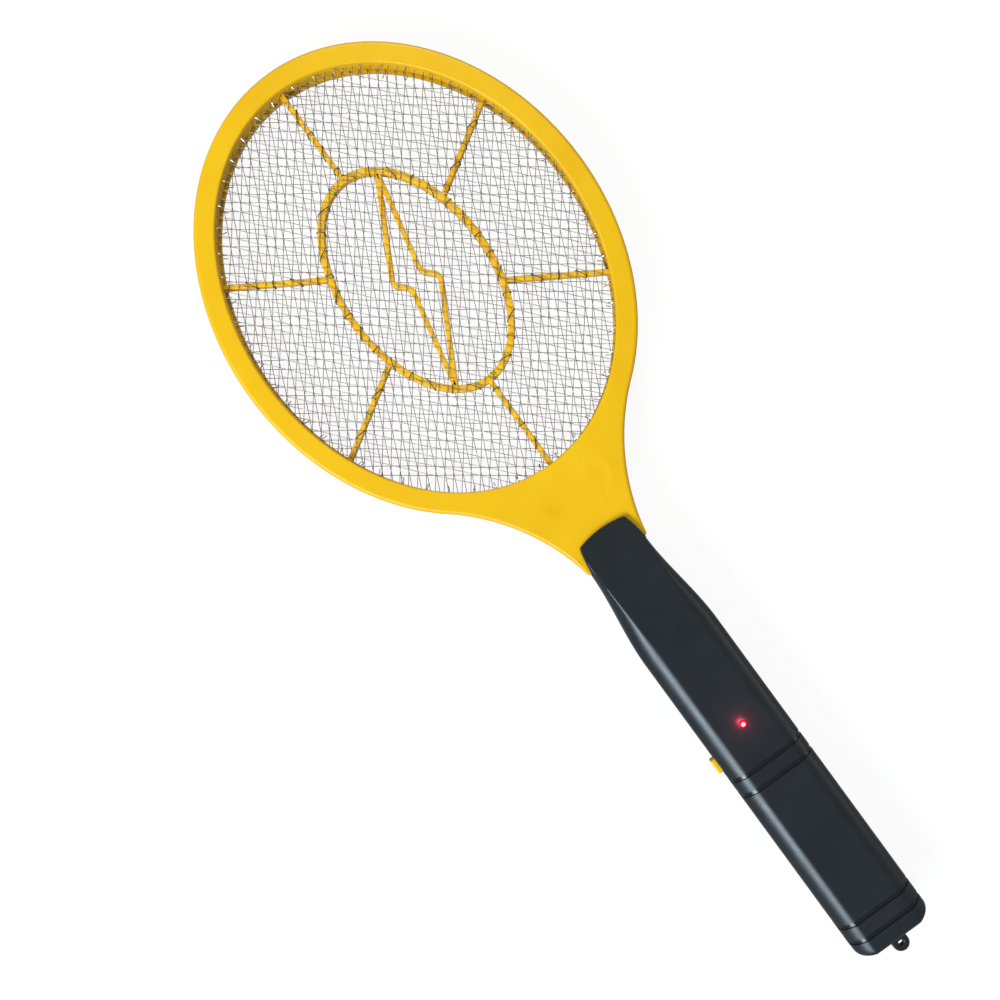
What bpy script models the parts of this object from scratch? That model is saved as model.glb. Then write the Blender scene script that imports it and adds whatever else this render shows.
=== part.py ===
"""Electric fly swatter: a two-part hoop on a battery handle.

The swatter lies on its back. +Y runs from the handle to the head's tip, +Z comes out of the
front face, and +X is to the right with the head up and the front towards the viewer.
The origin is the middle of the underside of the whole object's box.
Lengths along the swatter are counted from the head's centre, towards the tip as positive.
"""

import math

import bmesh
import bpy
import numpy as np
from mathutils import Matrix, Vector

MM = 0.001
GAP = 0.3 * MM                      # air between neighbouring pieces

# Hoop and throat
HOOP_LENGTH = 209.2 * MM
HOOP_WIDTH = 170.0 * MM
HOOP_DEPTH = 13.0 * MM
RIM_WIDTH = 9.2 * MM
RIM_CHAMFER = 1.3 * MM
HOOP_WALL = 2.0 * MM
THROAT_RADIUS = 94.7 * MM
THROAT_START = math.radians(-56.0)  # where the throat's arc leaves the hoop's ellipse
EAR_END = -142.7 * MM
EAR_ROUND = 1.5 * MM
TANG_ROOT = 0.8 * MM                # rise from the ear's end to the tang
TANG_END = -163.0 * MM
TANG_WIDTH = 18.0 * MM

# Wire meshes and the ribs between them
MESH_THICKNESS = 0.4 * MM
MESH_LAP = 3.5 * MM                 # how far a mesh is trapped under the rim
LATTICE_PITCH = 18.0 * MM           # coarse lattice that stands for the woven wire
LATTICE_BAR = 0.9 * MM
FRONT_WIRES = (math.radians(51.8), math.radians(-48.7))
REAR_WIRES = (math.radians(64.8), math.radians(-36.2))
RIB_DEPTH = 4.6 * MM
RIB_WIDTH = 2.2 * MM
RING_RIB = 3.0 * MM                 # the oval ring is broader than the other ribs
BAND_SETBACK = 0.6 * MM             # from the opening's edge out to the spacer's band
RIB_STEP = 0.1 * MM                 # ribs that cross differ in depth by this, so no faces coincide
RING_LENGTH = 106.0 * MM
RING_WIDTH = 67.0 * MM
SPOKE_AT_RING = math.radians(24.5)  # where a slanting spoke leaves the ring's ellipse
SPOKE_AT_RIM = math.radians(28.0)   # and where it meets the rim's
BOLT_CORNERS = ((0.417, 0.902), (-0.293, 0.077), (-0.114, -0.035))  # shares of the ring's half sizes

# Handle
HANDLE_END = -337.5 * MM
HANDLE_DEPTH = 22.0 * MM
HANDLE_WALL = 1.7 * MM
PANEL_WIDTH = 21.6 * MM
NECK_WIDTH = 27.6 * MM
NECK_PANEL = 24.8 * MM
NECK_LENGTH = 45.0 * MM
TONGUE_TIP = -129.0 * MM
TONGUE_WIDTH = 22.6 * MM
TONGUE_PLATE = 1.6 * MM
TONGUE_ARC = 1.6 * MM
END_CORNER = 4.6 * MM
END_EDGE = 2.5 * MM
SIDE_HEIGHT = 0.35                  # upright part of the side, as a share of half the depth
FLANK_LEAN = math.radians(28.0)     # where on its ellipse the flank meets the panel
FLANK_LEAST = 0.6 * MM              # least width of the flank
TONGUE_FLARE = 0.7                  # below 1, so the tongue widens fastest at its tip
RISE_LENGTH = 58.5 * MM             # over which the handle reaches its full depth
GROOVES = (-246.0 * MM, -253.6 * MM, -321.3 * MM, -329.1 * MM)
GROOVE_WIDTH = 2.0 * MM
GROOVE_DEPTH = 0.5 * MM
LUG_RADIUS = 3.7 * MM
LUG_REACH = 9.3 * MM
LUG_DEPTH = 2.5 * MM
LUG_HOLE = (1.3 * MM, 0.9 * MM)

# Screws that close the handle
SCREW_SPOTS = ((0.0, -153.0 * MM), (8.5 * MM, -245.4 * MM), (-8.5 * MM, -245.4 * MM))
POST_RADIUS = 3.4 * MM
SCREW_RADIUS = 1.2 * MM
SCREW_HEAD = 2.2 * MM
SCREW_HEAD_DEPTH = 1.2 * MM
SCREW_LENGTH = 10.0 * MM
SCREW_SINK = 2.4 * MM

# Batteries and their bay
BATTERY_RADIUS = 7.1 * MM
BATTERY_CAN = 49.2 * MM
BATTERY_NUB = 1.3 * MM
NUB_RADIUS = 2.7 * MM
BATTERY_SPACING = 2 * BATTERY_RADIUS + 2 * GAP
BATTERY_SIDE_ROOM = 1.6 * MM        # from a battery to the handle's wall
CELL_EDGE = 0.5 * MM
SPRING_LENGTH = 6.0 * MM
SPRING_WIDE = 4.2 * MM              # the cone-shaped coil's radius at its plate
SPRING_NARROW = 2.5 * MM            # and at the cell
SPRING_WIRE = 0.4 * MM              # radius of the wire
CONTACT_THICKNESS = 0.4 * MM
CONTACT_SIZE = 11.0 * MM
BULKHEAD = 1.2 * MM
BAY_TOP = -257.1 * MM
COVER_START = -249.8 * MM
COVER_WIDTH = 27.0 * MM
COVER_RISE = 7.5 * MM

# Push button and switch
BUTTON_Y = -238.5 * MM
BUTTON_LENGTH = 6.7 * MM
BUTTON_HEIGHT = 4.8 * MM
BUTTON_PROUD = 2.0 * MM
BUTTON_TRAVEL = 1.5 * MM
FLANGE_RIM = 1.0 * MM
FLANGE_THICKNESS = 1.0 * MM
PLUNGER_RADIUS = 1.5 * MM
SWITCH_SIZE = 6.0 * MM
SWITCH_DEPTH = 3.5 * MM
SWITCH_SPACE = 2.9 * MM             # from the button's flange to the switch
PLUNGER_LAP = 0.8 * MM              # how far the plunger stands in the switch at rest
BORE_ROOM = 1.2 * MM                # spare depth of its bore beyond the travel
RETURN_WIRE = 0.22 * MM             # radius of the return spring's wire

# Circuit board
BOARD_TOP = -168.0 * MM
BOARD_END = -231.0 * MM
BOARD_WIDTH = 23.0 * MM
BOARD_THICKNESS = 1.6 * MM
LED_Y = -227.9 * MM
LED_RADIUS = 1.5 * MM
LED_PROUD = 0.8 * MM
LED_LENGTH = 4.2 * MM               # dome and barrel, down to the foot ring
LED_FOOT = (0.4 * MM, 1.0 * MM)     # width and height of the foot ring
LED_LEG = (0.3 * MM, 0.9 * MM)      # radius of a leg and its distance from the middle
TRANSFORMER_Y = -186.0 * MM
LEAD_RADIUS = 0.6 * MM
TERMINAL_X = 5.0 * MM               # brass tabs on the meshes' edges
TERMINAL_WIDTH = 4.0 * MM
TERMINAL_LENGTH = 6.0 * MM
POST_SPOT = (9.0 * MM, 4.0 * MM)    # board posts, in from the middle line and the board's ends
BOARD_POST_RADIUS = 1.5 * MM
CAPACITOR_SIZE = (15.0 * MM, 9.0 * MM, 8.0 * MM)
SMALL_CAPACITOR = (6.0 * MM, 3.4 * MM, 6.0 * MM)
STAGES = 3                          # steps of the voltage multiplier, each a capacitor and a diode
STAGE_PITCH = 4.3 * MM
DIODE_SIZE = (1.2 * MM, 4.2 * MM)   # radius and length of the body
RESISTOR_SIZE = (0.9 * MM, 3.6 * MM)
RESISTOR_PITCH = 2.8 * MM
LEG_RADIUS = 0.35 * MM
LEG_LENGTH = 2.2 * MM
TRANSISTOR_RADIUS = 2.3 * MM
TRANSISTOR_SPAN = (2.0 * MM, 6.6 * MM)  # its lower and upper height over the board

# Derived places
HANDLE_WIDTH = BATTERY_SPACING + 2 * (BATTERY_RADIUS + BATTERY_SIDE_ROOM + HANDLE_WALL)
HALF_DEPTH = HANDLE_DEPTH / 2
MID = HALF_DEPTH                    # height of the seam between front and rear
LUG_TIP = HANDLE_END - LUG_REACH
HEAD_Y = (HOOP_LENGTH / 2 - LUG_TIP) / 2 - HOOP_LENGTH / 2
HOOP_TOP = HOOP_DEPTH / 2
MESH_LEVEL = RIB_DEPTH / 2 + GAP
INNER_A = HOOP_WIDTH / 2 - RIM_WIDTH
INNER_B = HOOP_LENGTH / 2 - RIM_WIDTH
WALL_X = HANDLE_WIDTH / 2 - HANDLE_WALL

PARTS = bpy.data.collections.new("electric_fly_swatter")
CUTTERS = bpy.data.collections.new("cutters")


# ---------------------------------------------------------------- tools

def clear_scene():
    for old in list(bpy.data.objects):
        bpy.data.objects.remove(old, do_unlink=True)
    bpy.context.scene.collection.children.link(PARTS)
    bpy.context.scene.collection.children.link(CUTTERS)


def material(name, colour, roughness, metallic=0.0):
    made = bpy.data.materials.new(name)
    made.use_nodes = True
    shader = made.node_tree.nodes["Principled BSDF"]
    shader.inputs["Base Color"].default_value = (*colour, 1.0)
    shader.inputs["Roughness"].default_value = roughness
    shader.inputs["Metallic"].default_value = metallic
    return made


def place(name, data, finish=None, collection=PARTS):
    """Puts mesh or curve data into the model, in coordinates counted from the head's centre."""
    thing = bpy.data.objects.new(name, data)
    thing.location = (0.0, HEAD_Y, MID)
    if finish is not None:
        data.materials.append(finish)
    collection.objects.link(thing)
    return thing


def as_cutter(thing):
    thing.hide_render = True
    thing.display_type = "WIRE"
    return thing


def mesh_of(name, verts, faces):
    """A closed mesh from its corners and faces, turned to face outwards."""
    data = bpy.data.meshes.new(name)
    data.from_pydata([tuple(v) for v in verts], [], faces)
    shape = bmesh.new()
    shape.from_mesh(data)
    bmesh.ops.recalc_face_normals(shape, faces=shape.faces)
    shape.to_mesh(data)
    shape.free()
    return data


def box_mesh(name, corner, opposite):
    low = Vector(map(min, corner, opposite))
    high = Vector(map(max, corner, opposite))
    shape = bmesh.new()
    bmesh.ops.create_cube(shape, size=1.0)
    bmesh.ops.scale(shape, vec=high - low, verts=shape.verts)
    bmesh.ops.translate(shape, vec=(low + high) / 2, verts=shape.verts)
    data = bpy.data.meshes.new(name)
    shape.to_mesh(data)
    shape.free()
    return data


def rod_mesh(name, radius, start, end, sides=16):
    """A round rod from one point to another."""
    start, end = Vector(start), Vector(end)
    along = end - start
    turn = Vector((0, 0, 1)).rotation_difference(along).to_matrix().to_4x4()
    shape = bmesh.new()
    bmesh.ops.create_cone(shape, cap_ends=True, segments=sides, radius1=radius, radius2=radius,
                          depth=along.length, matrix=Matrix.Translation((start + end) / 2) @ turn)
    data = bpy.data.meshes.new(name)
    shape.to_mesh(data)
    shape.free()
    return data


def stack_mesh(name, rings):
    """A solid through closed outlines of equal point counts, each with its own height."""
    count = len(rings[0][0])
    verts = [(x, y, z) for outline, z in rings for x, y in outline]
    faces = [list(range(count)), list(range(len(verts) - count, len(verts)))]
    for level in range(len(rings) - 1):
        for i in range(count):
            a = level * count + i
            b = level * count + (i + 1) % count
            faces.append((a, b, b + count, a + count))
    return mesh_of(name, verts, faces)


def prism_mesh(name, outlines, low, high):
    """A flat outline with holes, as a filled 2D curve with thickness, made into a mesh."""
    curve = bpy.data.curves.new(name, "CURVE")
    curve.dimensions = "2D"
    curve.fill_mode = "BOTH"
    curve.extrude = (high - low) / 2
    for outline in outlines:
        spline = curve.splines.new("POLY")
        spline.points.add(len(outline) - 1)
        for point, (x, y) in zip(spline.points, outline):
            point.co = (x, y, 0.0, 1.0)
        spline.use_cyclic_u = True
    holder = bpy.data.objects.new(name + "_curve", curve)
    PARTS.objects.link(holder)
    holder.location.z = (low + high) / 2
    graph = bpy.context.evaluated_depsgraph_get()
    data = bpy.data.meshes.new_from_object(holder.evaluated_get(graph))
    data.transform(holder.matrix_world)
    bpy.data.objects.remove(holder, do_unlink=True)
    shape = bmesh.new()
    shape.from_mesh(data)
    bmesh.ops.remove_doubles(shape, verts=shape.verts, dist=0.00001)
    bmesh.ops.recalc_face_normals(shape, faces=shape.faces)
    shape.to_mesh(data)
    shape.free()
    data.name = name
    return data


def turned(name, profile, start, direction, finish, steps=20, collection=PARTS):
    """A turned piece: profile gives (radius, distance along the axis), nose first."""
    data = bpy.data.meshes.new(name)
    verts = [(radius, 0.0, -along) for radius, along in profile]
    edges = [(i, i + 1) for i in range(len(profile) - 1)]
    data.from_pydata(verts, edges, [])
    thing = place(name, data, finish, collection)
    axis = -Vector(direction).normalized()
    thing.location = Vector(start) + Vector((0.0, HEAD_Y, MID))
    thing.rotation_euler = Vector((0, 0, 1)).rotation_difference(axis).to_euler()
    screw = thing.modifiers.new("Turn", "SCREW")
    screw.steps = steps
    screw.render_steps = steps
    screw.use_merge_vertices = True
    screw.merge_threshold = 0.00001
    screw.use_smooth_shade = True
    return thing


def wire(name, points, radius, finish, sides=2):
    """A round wire along a list of points."""
    curve = bpy.data.curves.new(name, "CURVE")
    curve.dimensions = "3D"
    curve.bevel_depth = radius
    curve.bevel_resolution = sides
    curve.use_fill_caps = True
    spline = curve.splines.new("POLY")
    spline.points.add(len(points) - 1)
    for point, spot in zip(spline.points, points):
        point.co = (*spot, 1.0)
    return place(name, curve, finish)


def through(corners, per_leg=5):
    """Points on one smooth curve through the corners (Catmull-Rom)."""
    pts = [Vector(c) for c in corners]
    pts = [2 * pts[0] - pts[1]] + pts + [2 * pts[-1] - pts[-2]]
    out = []
    for i in range(1, len(pts) - 2):
        for k in range(per_leg):
            t = k / per_leg
            a, b, c, d = pts[i - 1], pts[i], pts[i + 1], pts[i + 2]
            out.append(0.5 * (2 * b + (c - a) * t + (2 * a - 5 * b + 4 * c - d) * t ** 2
                              + (3 * b - a - 3 * c + d) * t ** 3))
    out.append(pts[-2])
    return out


def combine(thing, data, operation, name):
    """Cuts a shape out of a piece, or joins one to it, with a Boolean."""
    tool = as_cutter(place(name, data, collection=CUTTERS))
    step = thing.modifiers.new(name, "BOOLEAN")
    step.operation = operation
    step.solver = "EXACT"
    step.object = tool
    return tool


def cut(thing, data):
    return combine(thing, data, "DIFFERENCE", "cut_" + data.name)


def join(thing, data):
    return combine(thing, data, "UNION", "add_" + data.name)


# ---------------------------------------------------------------- outlines

def ease(value):
    value = min(max(value, 0.0), 1.0)
    return value * value * (3 - 2 * value)


def ellipse(a, b, count=56):
    turn = [2 * math.pi * i / count for i in range(count)]
    return [(a * math.cos(t), b * math.sin(t)) for t in turn]


def offset(outline, distance):
    """The closed outline moved inwards; points run anticlockwise."""
    pts = np.array(outline)
    ahead = np.roll(pts, -1, axis=0) - pts
    ahead /= np.linalg.norm(ahead, axis=1)[:, None]
    inward = np.stack([-ahead[:, 1], ahead[:, 0]], axis=1)
    both = inward + np.roll(inward, 1, axis=0)
    both /= (1 + (inward * np.roll(inward, 1, axis=0)).sum(axis=1))[:, None]
    return [tuple(p) for p in pts + both * distance]


def head_outline():
    """Outline of the hoop, its flared throat and the tang, anticlockwise from the tip."""
    a, b = HOOP_WIDTH / 2, HOOP_LENGTH / 2
    steps = 24
    sweep = math.pi / 2 - THROAT_START
    hoop = [(a * math.cos(t), b * math.sin(t))
            for t in (math.pi / 2 - sweep * i / steps for i in range(steps + 1))]
    hoop[0] = (0.0, b)
    normal = Vector((math.cos(THROAT_START) / a, math.sin(THROAT_START) / b)).normalized()
    centre = Vector(hoop[-1]) + normal * THROAT_RADIUS
    first = math.atan2(hoop[-1][1] - centre.y, hoop[-1][0] - centre.x) % (2 * math.pi)
    last = math.pi - math.asin((EAR_END + EAR_ROUND - centre.y) / THROAT_RADIUS)
    arc = []
    for i in range(1, 9):
        t = first + (last - first) * i / 8
        arc.append((centre.x + THROAT_RADIUS * math.cos(t), centre.y + THROAT_RADIUS * math.sin(t)))
    ear = (arc[-1][0] - EAR_ROUND, EAR_END)
    tang = [(TANG_WIDTH / 2, EAR_END + TANG_ROOT), (TANG_WIDTH / 2, TANG_END)]
    right = hoop + arc + [ear] + tang
    left = [(-x, y) for x, y in right[1:]]
    return right[:1] + left + right[:0:-1]


def half_width(y):
    """Half of the handle's width at y."""
    if y > EAR_END:
        share = (TONGUE_TIP - y) / (TONGUE_TIP - EAR_END)
        return (TONGUE_WIDTH + (NECK_WIDTH - TONGUE_WIDTH) * min(share, 1.0) ** TONGUE_FLARE) / 2
    share = ease((EAR_END - y) / NECK_LENGTH)
    return (NECK_WIDTH + (HANDLE_WIDTH - NECK_WIDTH) * share) / 2


def half_panel(y):
    share = ease((EAR_END - y) / NECK_LENGTH)
    return min((NECK_PANEL + (PANEL_WIDTH - NECK_PANEL) * share) / 2, half_width(y) - FLANK_LEAST)


def half_height(y):
    start = HOOP_TOP + GAP + TONGUE_PLATE
    return start + (HALF_DEPTH - start) * ease((TONGUE_TIP - y) / RISE_LENGTH)


def fillet(radius, distance):
    """How much a round of this radius takes off at a distance from the end."""
    if distance >= radius:
        return 0.0
    return radius - math.sqrt(max(radius ** 2 - (radius - distance) ** 2, 0.0))


def handle_section(y, inset=0.0, end=HANDLE_END, floor=GAP / 2, groove=0.0):
    """The front half of the handle's section: flat panel, rounded flank, upright side."""
    away = y - end
    width = half_width(y) - inset - groove - fillet(END_CORNER - inset, away)
    height = half_height(y) - inset - groove - fillet(max(END_EDGE - inset, 0.2 * MM), away)
    panel = min(half_panel(y) - inset * 0.3, width - FLANK_LEAST)
    side = max(floor, height * SIDE_HEIGHT)
    flank = [(width, floor)]
    for i in range(4):
        t = math.pi / 2 + (FLANK_LEAN - math.pi / 2) * i / 3
        x = panel + (width - panel) * (math.sin(t) - math.sin(FLANK_LEAN)) / (1 - math.sin(FLANK_LEAN))
        z = side + (height - side) * math.cos(t) / math.cos(FLANK_LEAN)
        flank.append((x, z))
    return flank + [(-x, z) for x, z in reversed(flank)]


# ---------------------------------------------------------------- head

def head_frame(name, sign, finish):
    """One half of the hoop and throat: a channel, open at the seam."""
    outline = head_outline()
    rings = [(outline, GAP / 2), (outline, HOOP_TOP - RIM_CHAMFER),
             (offset(outline, RIM_CHAMFER), HOOP_TOP)]
    rings = [(ring, sign * z) for ring, z in rings]
    frame = place(name, stack_mesh(name, rings), finish)
    below, pocket = -2 * GAP, MESH_LEVEL + MESH_THICKNESS + GAP
    cuts = [
        ("channel", [offset(outline, HOOP_WALL), ellipse(INNER_A + HOOP_WALL, INNER_B + HOOP_WALL)],
         below, HOOP_TOP - HOOP_WALL),
        ("pocket", [ellipse(INNER_A + MESH_LAP + 2 * GAP, INNER_B + MESH_LAP + 2 * GAP)],
         2 * below, pocket),
        ("opening", [ellipse(INNER_A, INNER_B)], 3 * below, HOOP_TOP * 2),
    ]
    for label, outlines, low, high in cuts:
        low, high = sorted((sign * low, sign * high))
        cut(frame, prism_mesh(name + "_" + label, outlines, low, high))
    slot = TANG_WIDTH / 2 - HOOP_WALL - GAP
    cut(frame, box_mesh(name + "_lead_slot", (-slot, TANG_END - HOOP_WALL, -sign * HOOP_TOP / 2),
                        (slot, TANG_END + 2 * HOOP_WALL, sign * HOOP_TOP / 2)))
    x, y = SCREW_SPOTS[0]
    cut(frame, rod_mesh(name + "_post_hole", POST_RADIUS + GAP, (x, y, -HOOP_DEPTH), (x, y, HOOP_DEPTH)))
    return frame


def lattice_holes(angles):
    """Slanted windows between two sets of straight bars, kept clear of the rim."""
    normals = np.array([(-math.sin(t), math.cos(t)) for t in angles])
    corners = np.array([(0, 0), (1, 0), (1, 1), (0, 1)]) * (LATTICE_PITCH - LATTICE_BAR)
    reach = int(max(INNER_A, INNER_B) / LATTICE_PITCH * 1.6)
    holes = []
    for i in range(-reach, reach):
        for j in range(-reach, reach):
            levels = np.array((i, j)) * LATTICE_PITCH + LATTICE_BAR / 2 + corners
            spots = np.linalg.solve(normals, levels.T).T
            reach_out = (spots[:, 0] / (INNER_A - MM)) ** 2 + (spots[:, 1] / (INNER_B - MM)) ** 2
            if reach_out.max() < 1.0:
                holes.append([tuple(p) for p in spots])
    return holes


def wire_mesh(name, sign, angles, finish):
    outlines = [ellipse(INNER_A + MESH_LAP, INNER_B + MESH_LAP)] + lattice_holes(angles)
    low, high = sorted((sign * MESH_LEVEL, sign * (MESH_LEVEL + MESH_THICKNESS)))
    return place(name, prism_mesh(name, outlines, low, high), finish)


def bar_mesh(name, start, end, depth):
    """An upright flat bar between two points of the plane."""
    start, end = Vector(start), Vector(end)
    side = Vector((start.y - end.y, end.x - start.x)).normalized() * RIB_WIDTH / 2
    outline = [tuple(p) for p in (start + side, start - side, end - side, end + side)]
    return stack_mesh(name, [(outline, -depth / 2), (outline, depth / 2)])


def mesh_spacer(finish):
    """Band, ring, six spokes and zigzag ribs that hold the two meshes apart."""
    lap = MESH_LAP
    band = [ellipse(INNER_A + lap, INNER_B + lap), ellipse(INNER_A + BAND_SETBACK, INNER_B + BAND_SETBACK)]
    spacer = place("mesh_spacer", prism_mesh("mesh_spacer", band, -RIB_DEPTH / 2, RIB_DEPTH / 2), finish)
    ring_a, ring_b = (RING_WIDTH - RING_RIB) / 2, (RING_LENGTH - RING_RIB) / 2
    ring = [ellipse(RING_WIDTH / 2, RING_LENGTH / 2, 48),
            ellipse(RING_WIDTH / 2 - RING_RIB, RING_LENGTH / 2 - RING_RIB, 48)]
    rim_a, rim_b = INNER_A + lap / 2, INNER_B + lap / 2
    spokes = [((0, s * ring_b), (0, s * rim_b)) for s in (1, -1)]
    for s in (1, -1):
        for t in (1, -1):
            start = (s * ring_a * math.cos(SPOKE_AT_RING), t * ring_b * math.sin(SPOKE_AT_RING))
            end = (s * rim_a * math.cos(SPOKE_AT_RIM), t * rim_b * math.sin(SPOKE_AT_RIM))
            spokes.append((start, end))
    for number, (start, end) in enumerate(spokes):
        join(spacer, bar_mesh("spoke_%d" % (number + 1), start, end, RIB_DEPTH - 2 * RIB_STEP))
    depth = RIB_DEPTH - RIB_STEP
    join(spacer, prism_mesh("rib_ring", ring, -depth / 2, depth / 2))
    half = [(x * ring_a, y * ring_b) for x, y in BOLT_CORNERS]
    corners = half + [(-x, -y) for x, y in half]
    for number, start in enumerate(corners):
        end = corners[(number + 1) % len(corners)]
        depth = RIB_DEPTH - (3 + number / 5) * RIB_STEP
        join(spacer, bar_mesh("bolt_rib_%d" % (number + 1), start, end, depth))
    return spacer


def mesh_terminal(name, side, sign, finish):
    """A brass tab that lies on a mesh's edge inside the throat."""
    level = MESH_LEVEL + MESH_THICKNESS + GAP
    low_z, high_z = sorted((sign * level, sign * (level + CONTACT_THICKNESS)))
    near = -(INNER_B + HOOP_WALL + GAP)
    x = side * TERMINAL_X
    half = TERMINAL_WIDTH / 2
    tab = box_mesh(name, (x - half, near - TERMINAL_LENGTH, low_z), (x + half, near, high_z))
    return place(name, tab, finish)


def high_voltage_lead(name, side, sign, finish):
    """From a brass tab through the hollow throat and tang to the board's top edge."""
    near = -(INNER_B + HOOP_WALL + GAP) - TERMINAL_LENGTH - 2 * GAP
    x = side * (TANG_WIDTH / 2 - HOOP_WALL - LEAD_RADIUS - 1.0 * MM)
    start_z = sign * (MESH_LEVEL + MESH_THICKNESS + GAP)
    run_z = sign * 1.2 * MM
    end_z = LEAD_RADIUS + 2 * GAP if sign > 0 else -BOARD_THICKNESS / 2
    end_y = BOARD_TOP + LEAD_RADIUS + GAP
    route = [(side * TERMINAL_X, near - LEAD_RADIUS, start_z), (side * 5.2 * MM, near - 5 * MM, run_z * 2),
             (x, near - 12 * MM, run_z), (x, EAR_END, run_z), (x, TANG_END, run_z), (x, end_y, end_z)]
    return wire(name, through(route, 3), LEAD_RADIUS, finish)


# ---------------------------------------------------------------- handle shells

def shell_stations():
    """Places along the handle: (y, sag of the tongue's arc, open to the seam, groove depth)."""
    rows = [(TONGUE_TIP, 1.0, False, 0.0), (TONGUE_TIP - 3 * MM, 0.6, False, 0.0),
            (TONGUE_TIP - 8 * MM, 0.2, False, 0.0)]
    side = EAR_END - GAP
    rows += [(side + 0.02 * MM, 0.0, False, 0.0), (side, 0.0, True, 0.0)]
    rows += [(EAR_END - NECK_LENGTH * i / 5, 0.0, True, 0.0) for i in range(1, 6)]
    for y in GROOVES:
        half = GROOVE_WIDTH / 2
        rows += [(y + half, 0.0, True, 0.0), (y, 0.0, True, GROOVE_DEPTH), (y - half, 0.0, True, 0.0)]
    rows += [(HANDLE_END + END_CORNER * share, 0.0, True, 0.0)
             for share in (0.98, 0.5, 0.25, 0.08, 0.0)]
    return rows


def shell_mesh(name, sign):
    """Half of the handle: outer and inner skins of the same stations, closed at the far end."""
    outer, inner = [], []
    inner_end = HANDLE_END + HANDLE_WALL
    for y, sag, is_open, groove in shell_stations():
        floor = GAP / 2 if is_open else HOOP_TOP + GAP
        skin = handle_section(y, 0.0, HANDLE_END, floor, groove)
        away = y - HANDLE_END
        deep = y if away >= END_CORNER else inner_end + away * (END_CORNER - HANDLE_WALL) / END_CORNER
        lining = handle_section(deep, HANDLE_WALL, inner_end, floor)
        if not is_open:
            lining = [(x, floor) for x, z in lining]
        bend = [TONGUE_ARC * sag * (x / half_width(y)) ** 2 for x, z in skin]
        outer += [(x, y - drop, sign * z) for (x, z), drop in zip(skin, bend)]
        bend = [TONGUE_ARC * sag * (x / half_width(y)) ** 2 for x, z in lining]
        inner += [(x, deep - drop, sign * z) for (x, z), drop in zip(lining, bend)]
    count = len(skin)
    rows = len(outer) // count
    lift = len(outer)
    faces = []
    for base in (0, lift):
        for r in range(rows - 1):
            for i in range(count - 1):
                a = base + r * count + i
                faces.append((a, a + 1, a + 1 + count, a + count))
    for r in range(rows - 1):
        for i in (0, count - 1):
            a = r * count + i
            faces.append((a, a + count, a + count + lift, a + lift))
    for i in range(count - 1):
        faces.append((i, i + 1, i + 1 + lift, i + lift))
    last = (rows - 1) * count
    faces.append(list(range(last, last + count)))
    faces.append(list(range(last + lift, last + lift + count)))
    faces.append((last, last + count - 1, last + count - 1 + lift, last + lift))
    return mesh_of(name, outer + inner, faces)


def slice_mesh(name, top, bottom, inset):
    """A cross wall that fills the handle's section, sunk half-way into the shell."""
    section = handle_section(top, inset)
    count = len(section)
    verts = [(x, y, z) for y in (top, bottom) for x, z in section]
    faces = [list(range(count)), list(range(count, 2 * count))]
    faces += [(i, (i + 1) % count, (i + 1) % count + count, i + count) for i in range(count)]
    return mesh_of(name, verts, faces)


def bay_end():
    """Far wall of the battery bay: two contacts, a battery, a spring and their gaps."""
    return BAY_TOP - (2 * CONTACT_THICKNESS + 5 * GAP + BATTERY_CAN + BATTERY_NUB + SPRING_LENGTH)


def hang_lug_mesh(name):
    """The eye for a cord at the end: a tab with a round end, without its hole."""
    reach = LUG_REACH - LUG_RADIUS
    base = HANDLE_END + HANDLE_WALL / 2
    round_end = [(LUG_RADIUS * math.cos(t), HANDLE_END - reach + LUG_RADIUS * math.sin(t))
                 for t in (-math.pi * i / 12 for i in range(13))]
    outline = [(-LUG_RADIUS, base)] + [(LUG_RADIUS, base)] + round_end
    return stack_mesh(name, [(outline, GAP / 2), (outline, GAP / 2 + LUG_DEPTH)])


def front_shell(finish):
    shell = place("handle_front_shell", shell_mesh("handle_front_shell", 1), finish)
    for number, (x, y) in enumerate(SCREW_SPOTS):
        top = half_height(y) - HANDLE_WALL / 2
        join(shell, rod_mesh("post_%d" % number, POST_RADIUS, (x, y, GAP / 2), (x, y, top)))
        depth = SCREW_LENGTH + SCREW_SINK - half_height(y) + 2 * GAP
        cut(shell, rod_mesh("pilot_%d" % number, SCREW_RADIUS + GAP, (x, y, -GAP), (x, y, depth)))
    for label, y in (("top", BAY_TOP + BULKHEAD), ("end", bay_end())):
        join(shell, slice_mesh("bay_" + label, y, y - BULKHEAD, HANDLE_WALL / 2))
    join(shell, hang_lug_mesh("hang_lug"))
    eye = [(LUG_HOLE[0] * math.cos(t), LUG_TIP + LUG_RADIUS + LUG_HOLE[1] * math.sin(t))
           for t in (2 * math.pi * i / 16 for i in range(16))]
    cut(shell, stack_mesh("lug_hole", [(eye, -MM), (eye, LUG_DEPTH + MM)]))
    cut(shell, rod_mesh("led_hole", LED_RADIUS + GAP, (0, LED_Y, HALF_DEPTH / 2), (0, LED_Y, HANDLE_DEPTH)))
    cut(shell, button_window("front_button_window"))
    return shell


def button_window(name):
    half = (BUTTON_LENGTH / 2 + GAP, BUTTON_HEIGHT / 2 + GAP)
    return box_mesh(name, (-HANDLE_WIDTH, BUTTON_Y - half[0], -half[1]),
                    (-WALL_X + MM, BUTTON_Y + half[0], half[1]))


def cover_block(name, extra):
    """The space of the battery cover, grown by a clearance."""
    half = COVER_WIDTH / 2 + extra
    return box_mesh(name, (-half, HANDLE_END - 10 * MM, -HANDLE_DEPTH),
                    (half, COVER_START + extra, -HALF_DEPTH + COVER_RISE + extra))


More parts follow.
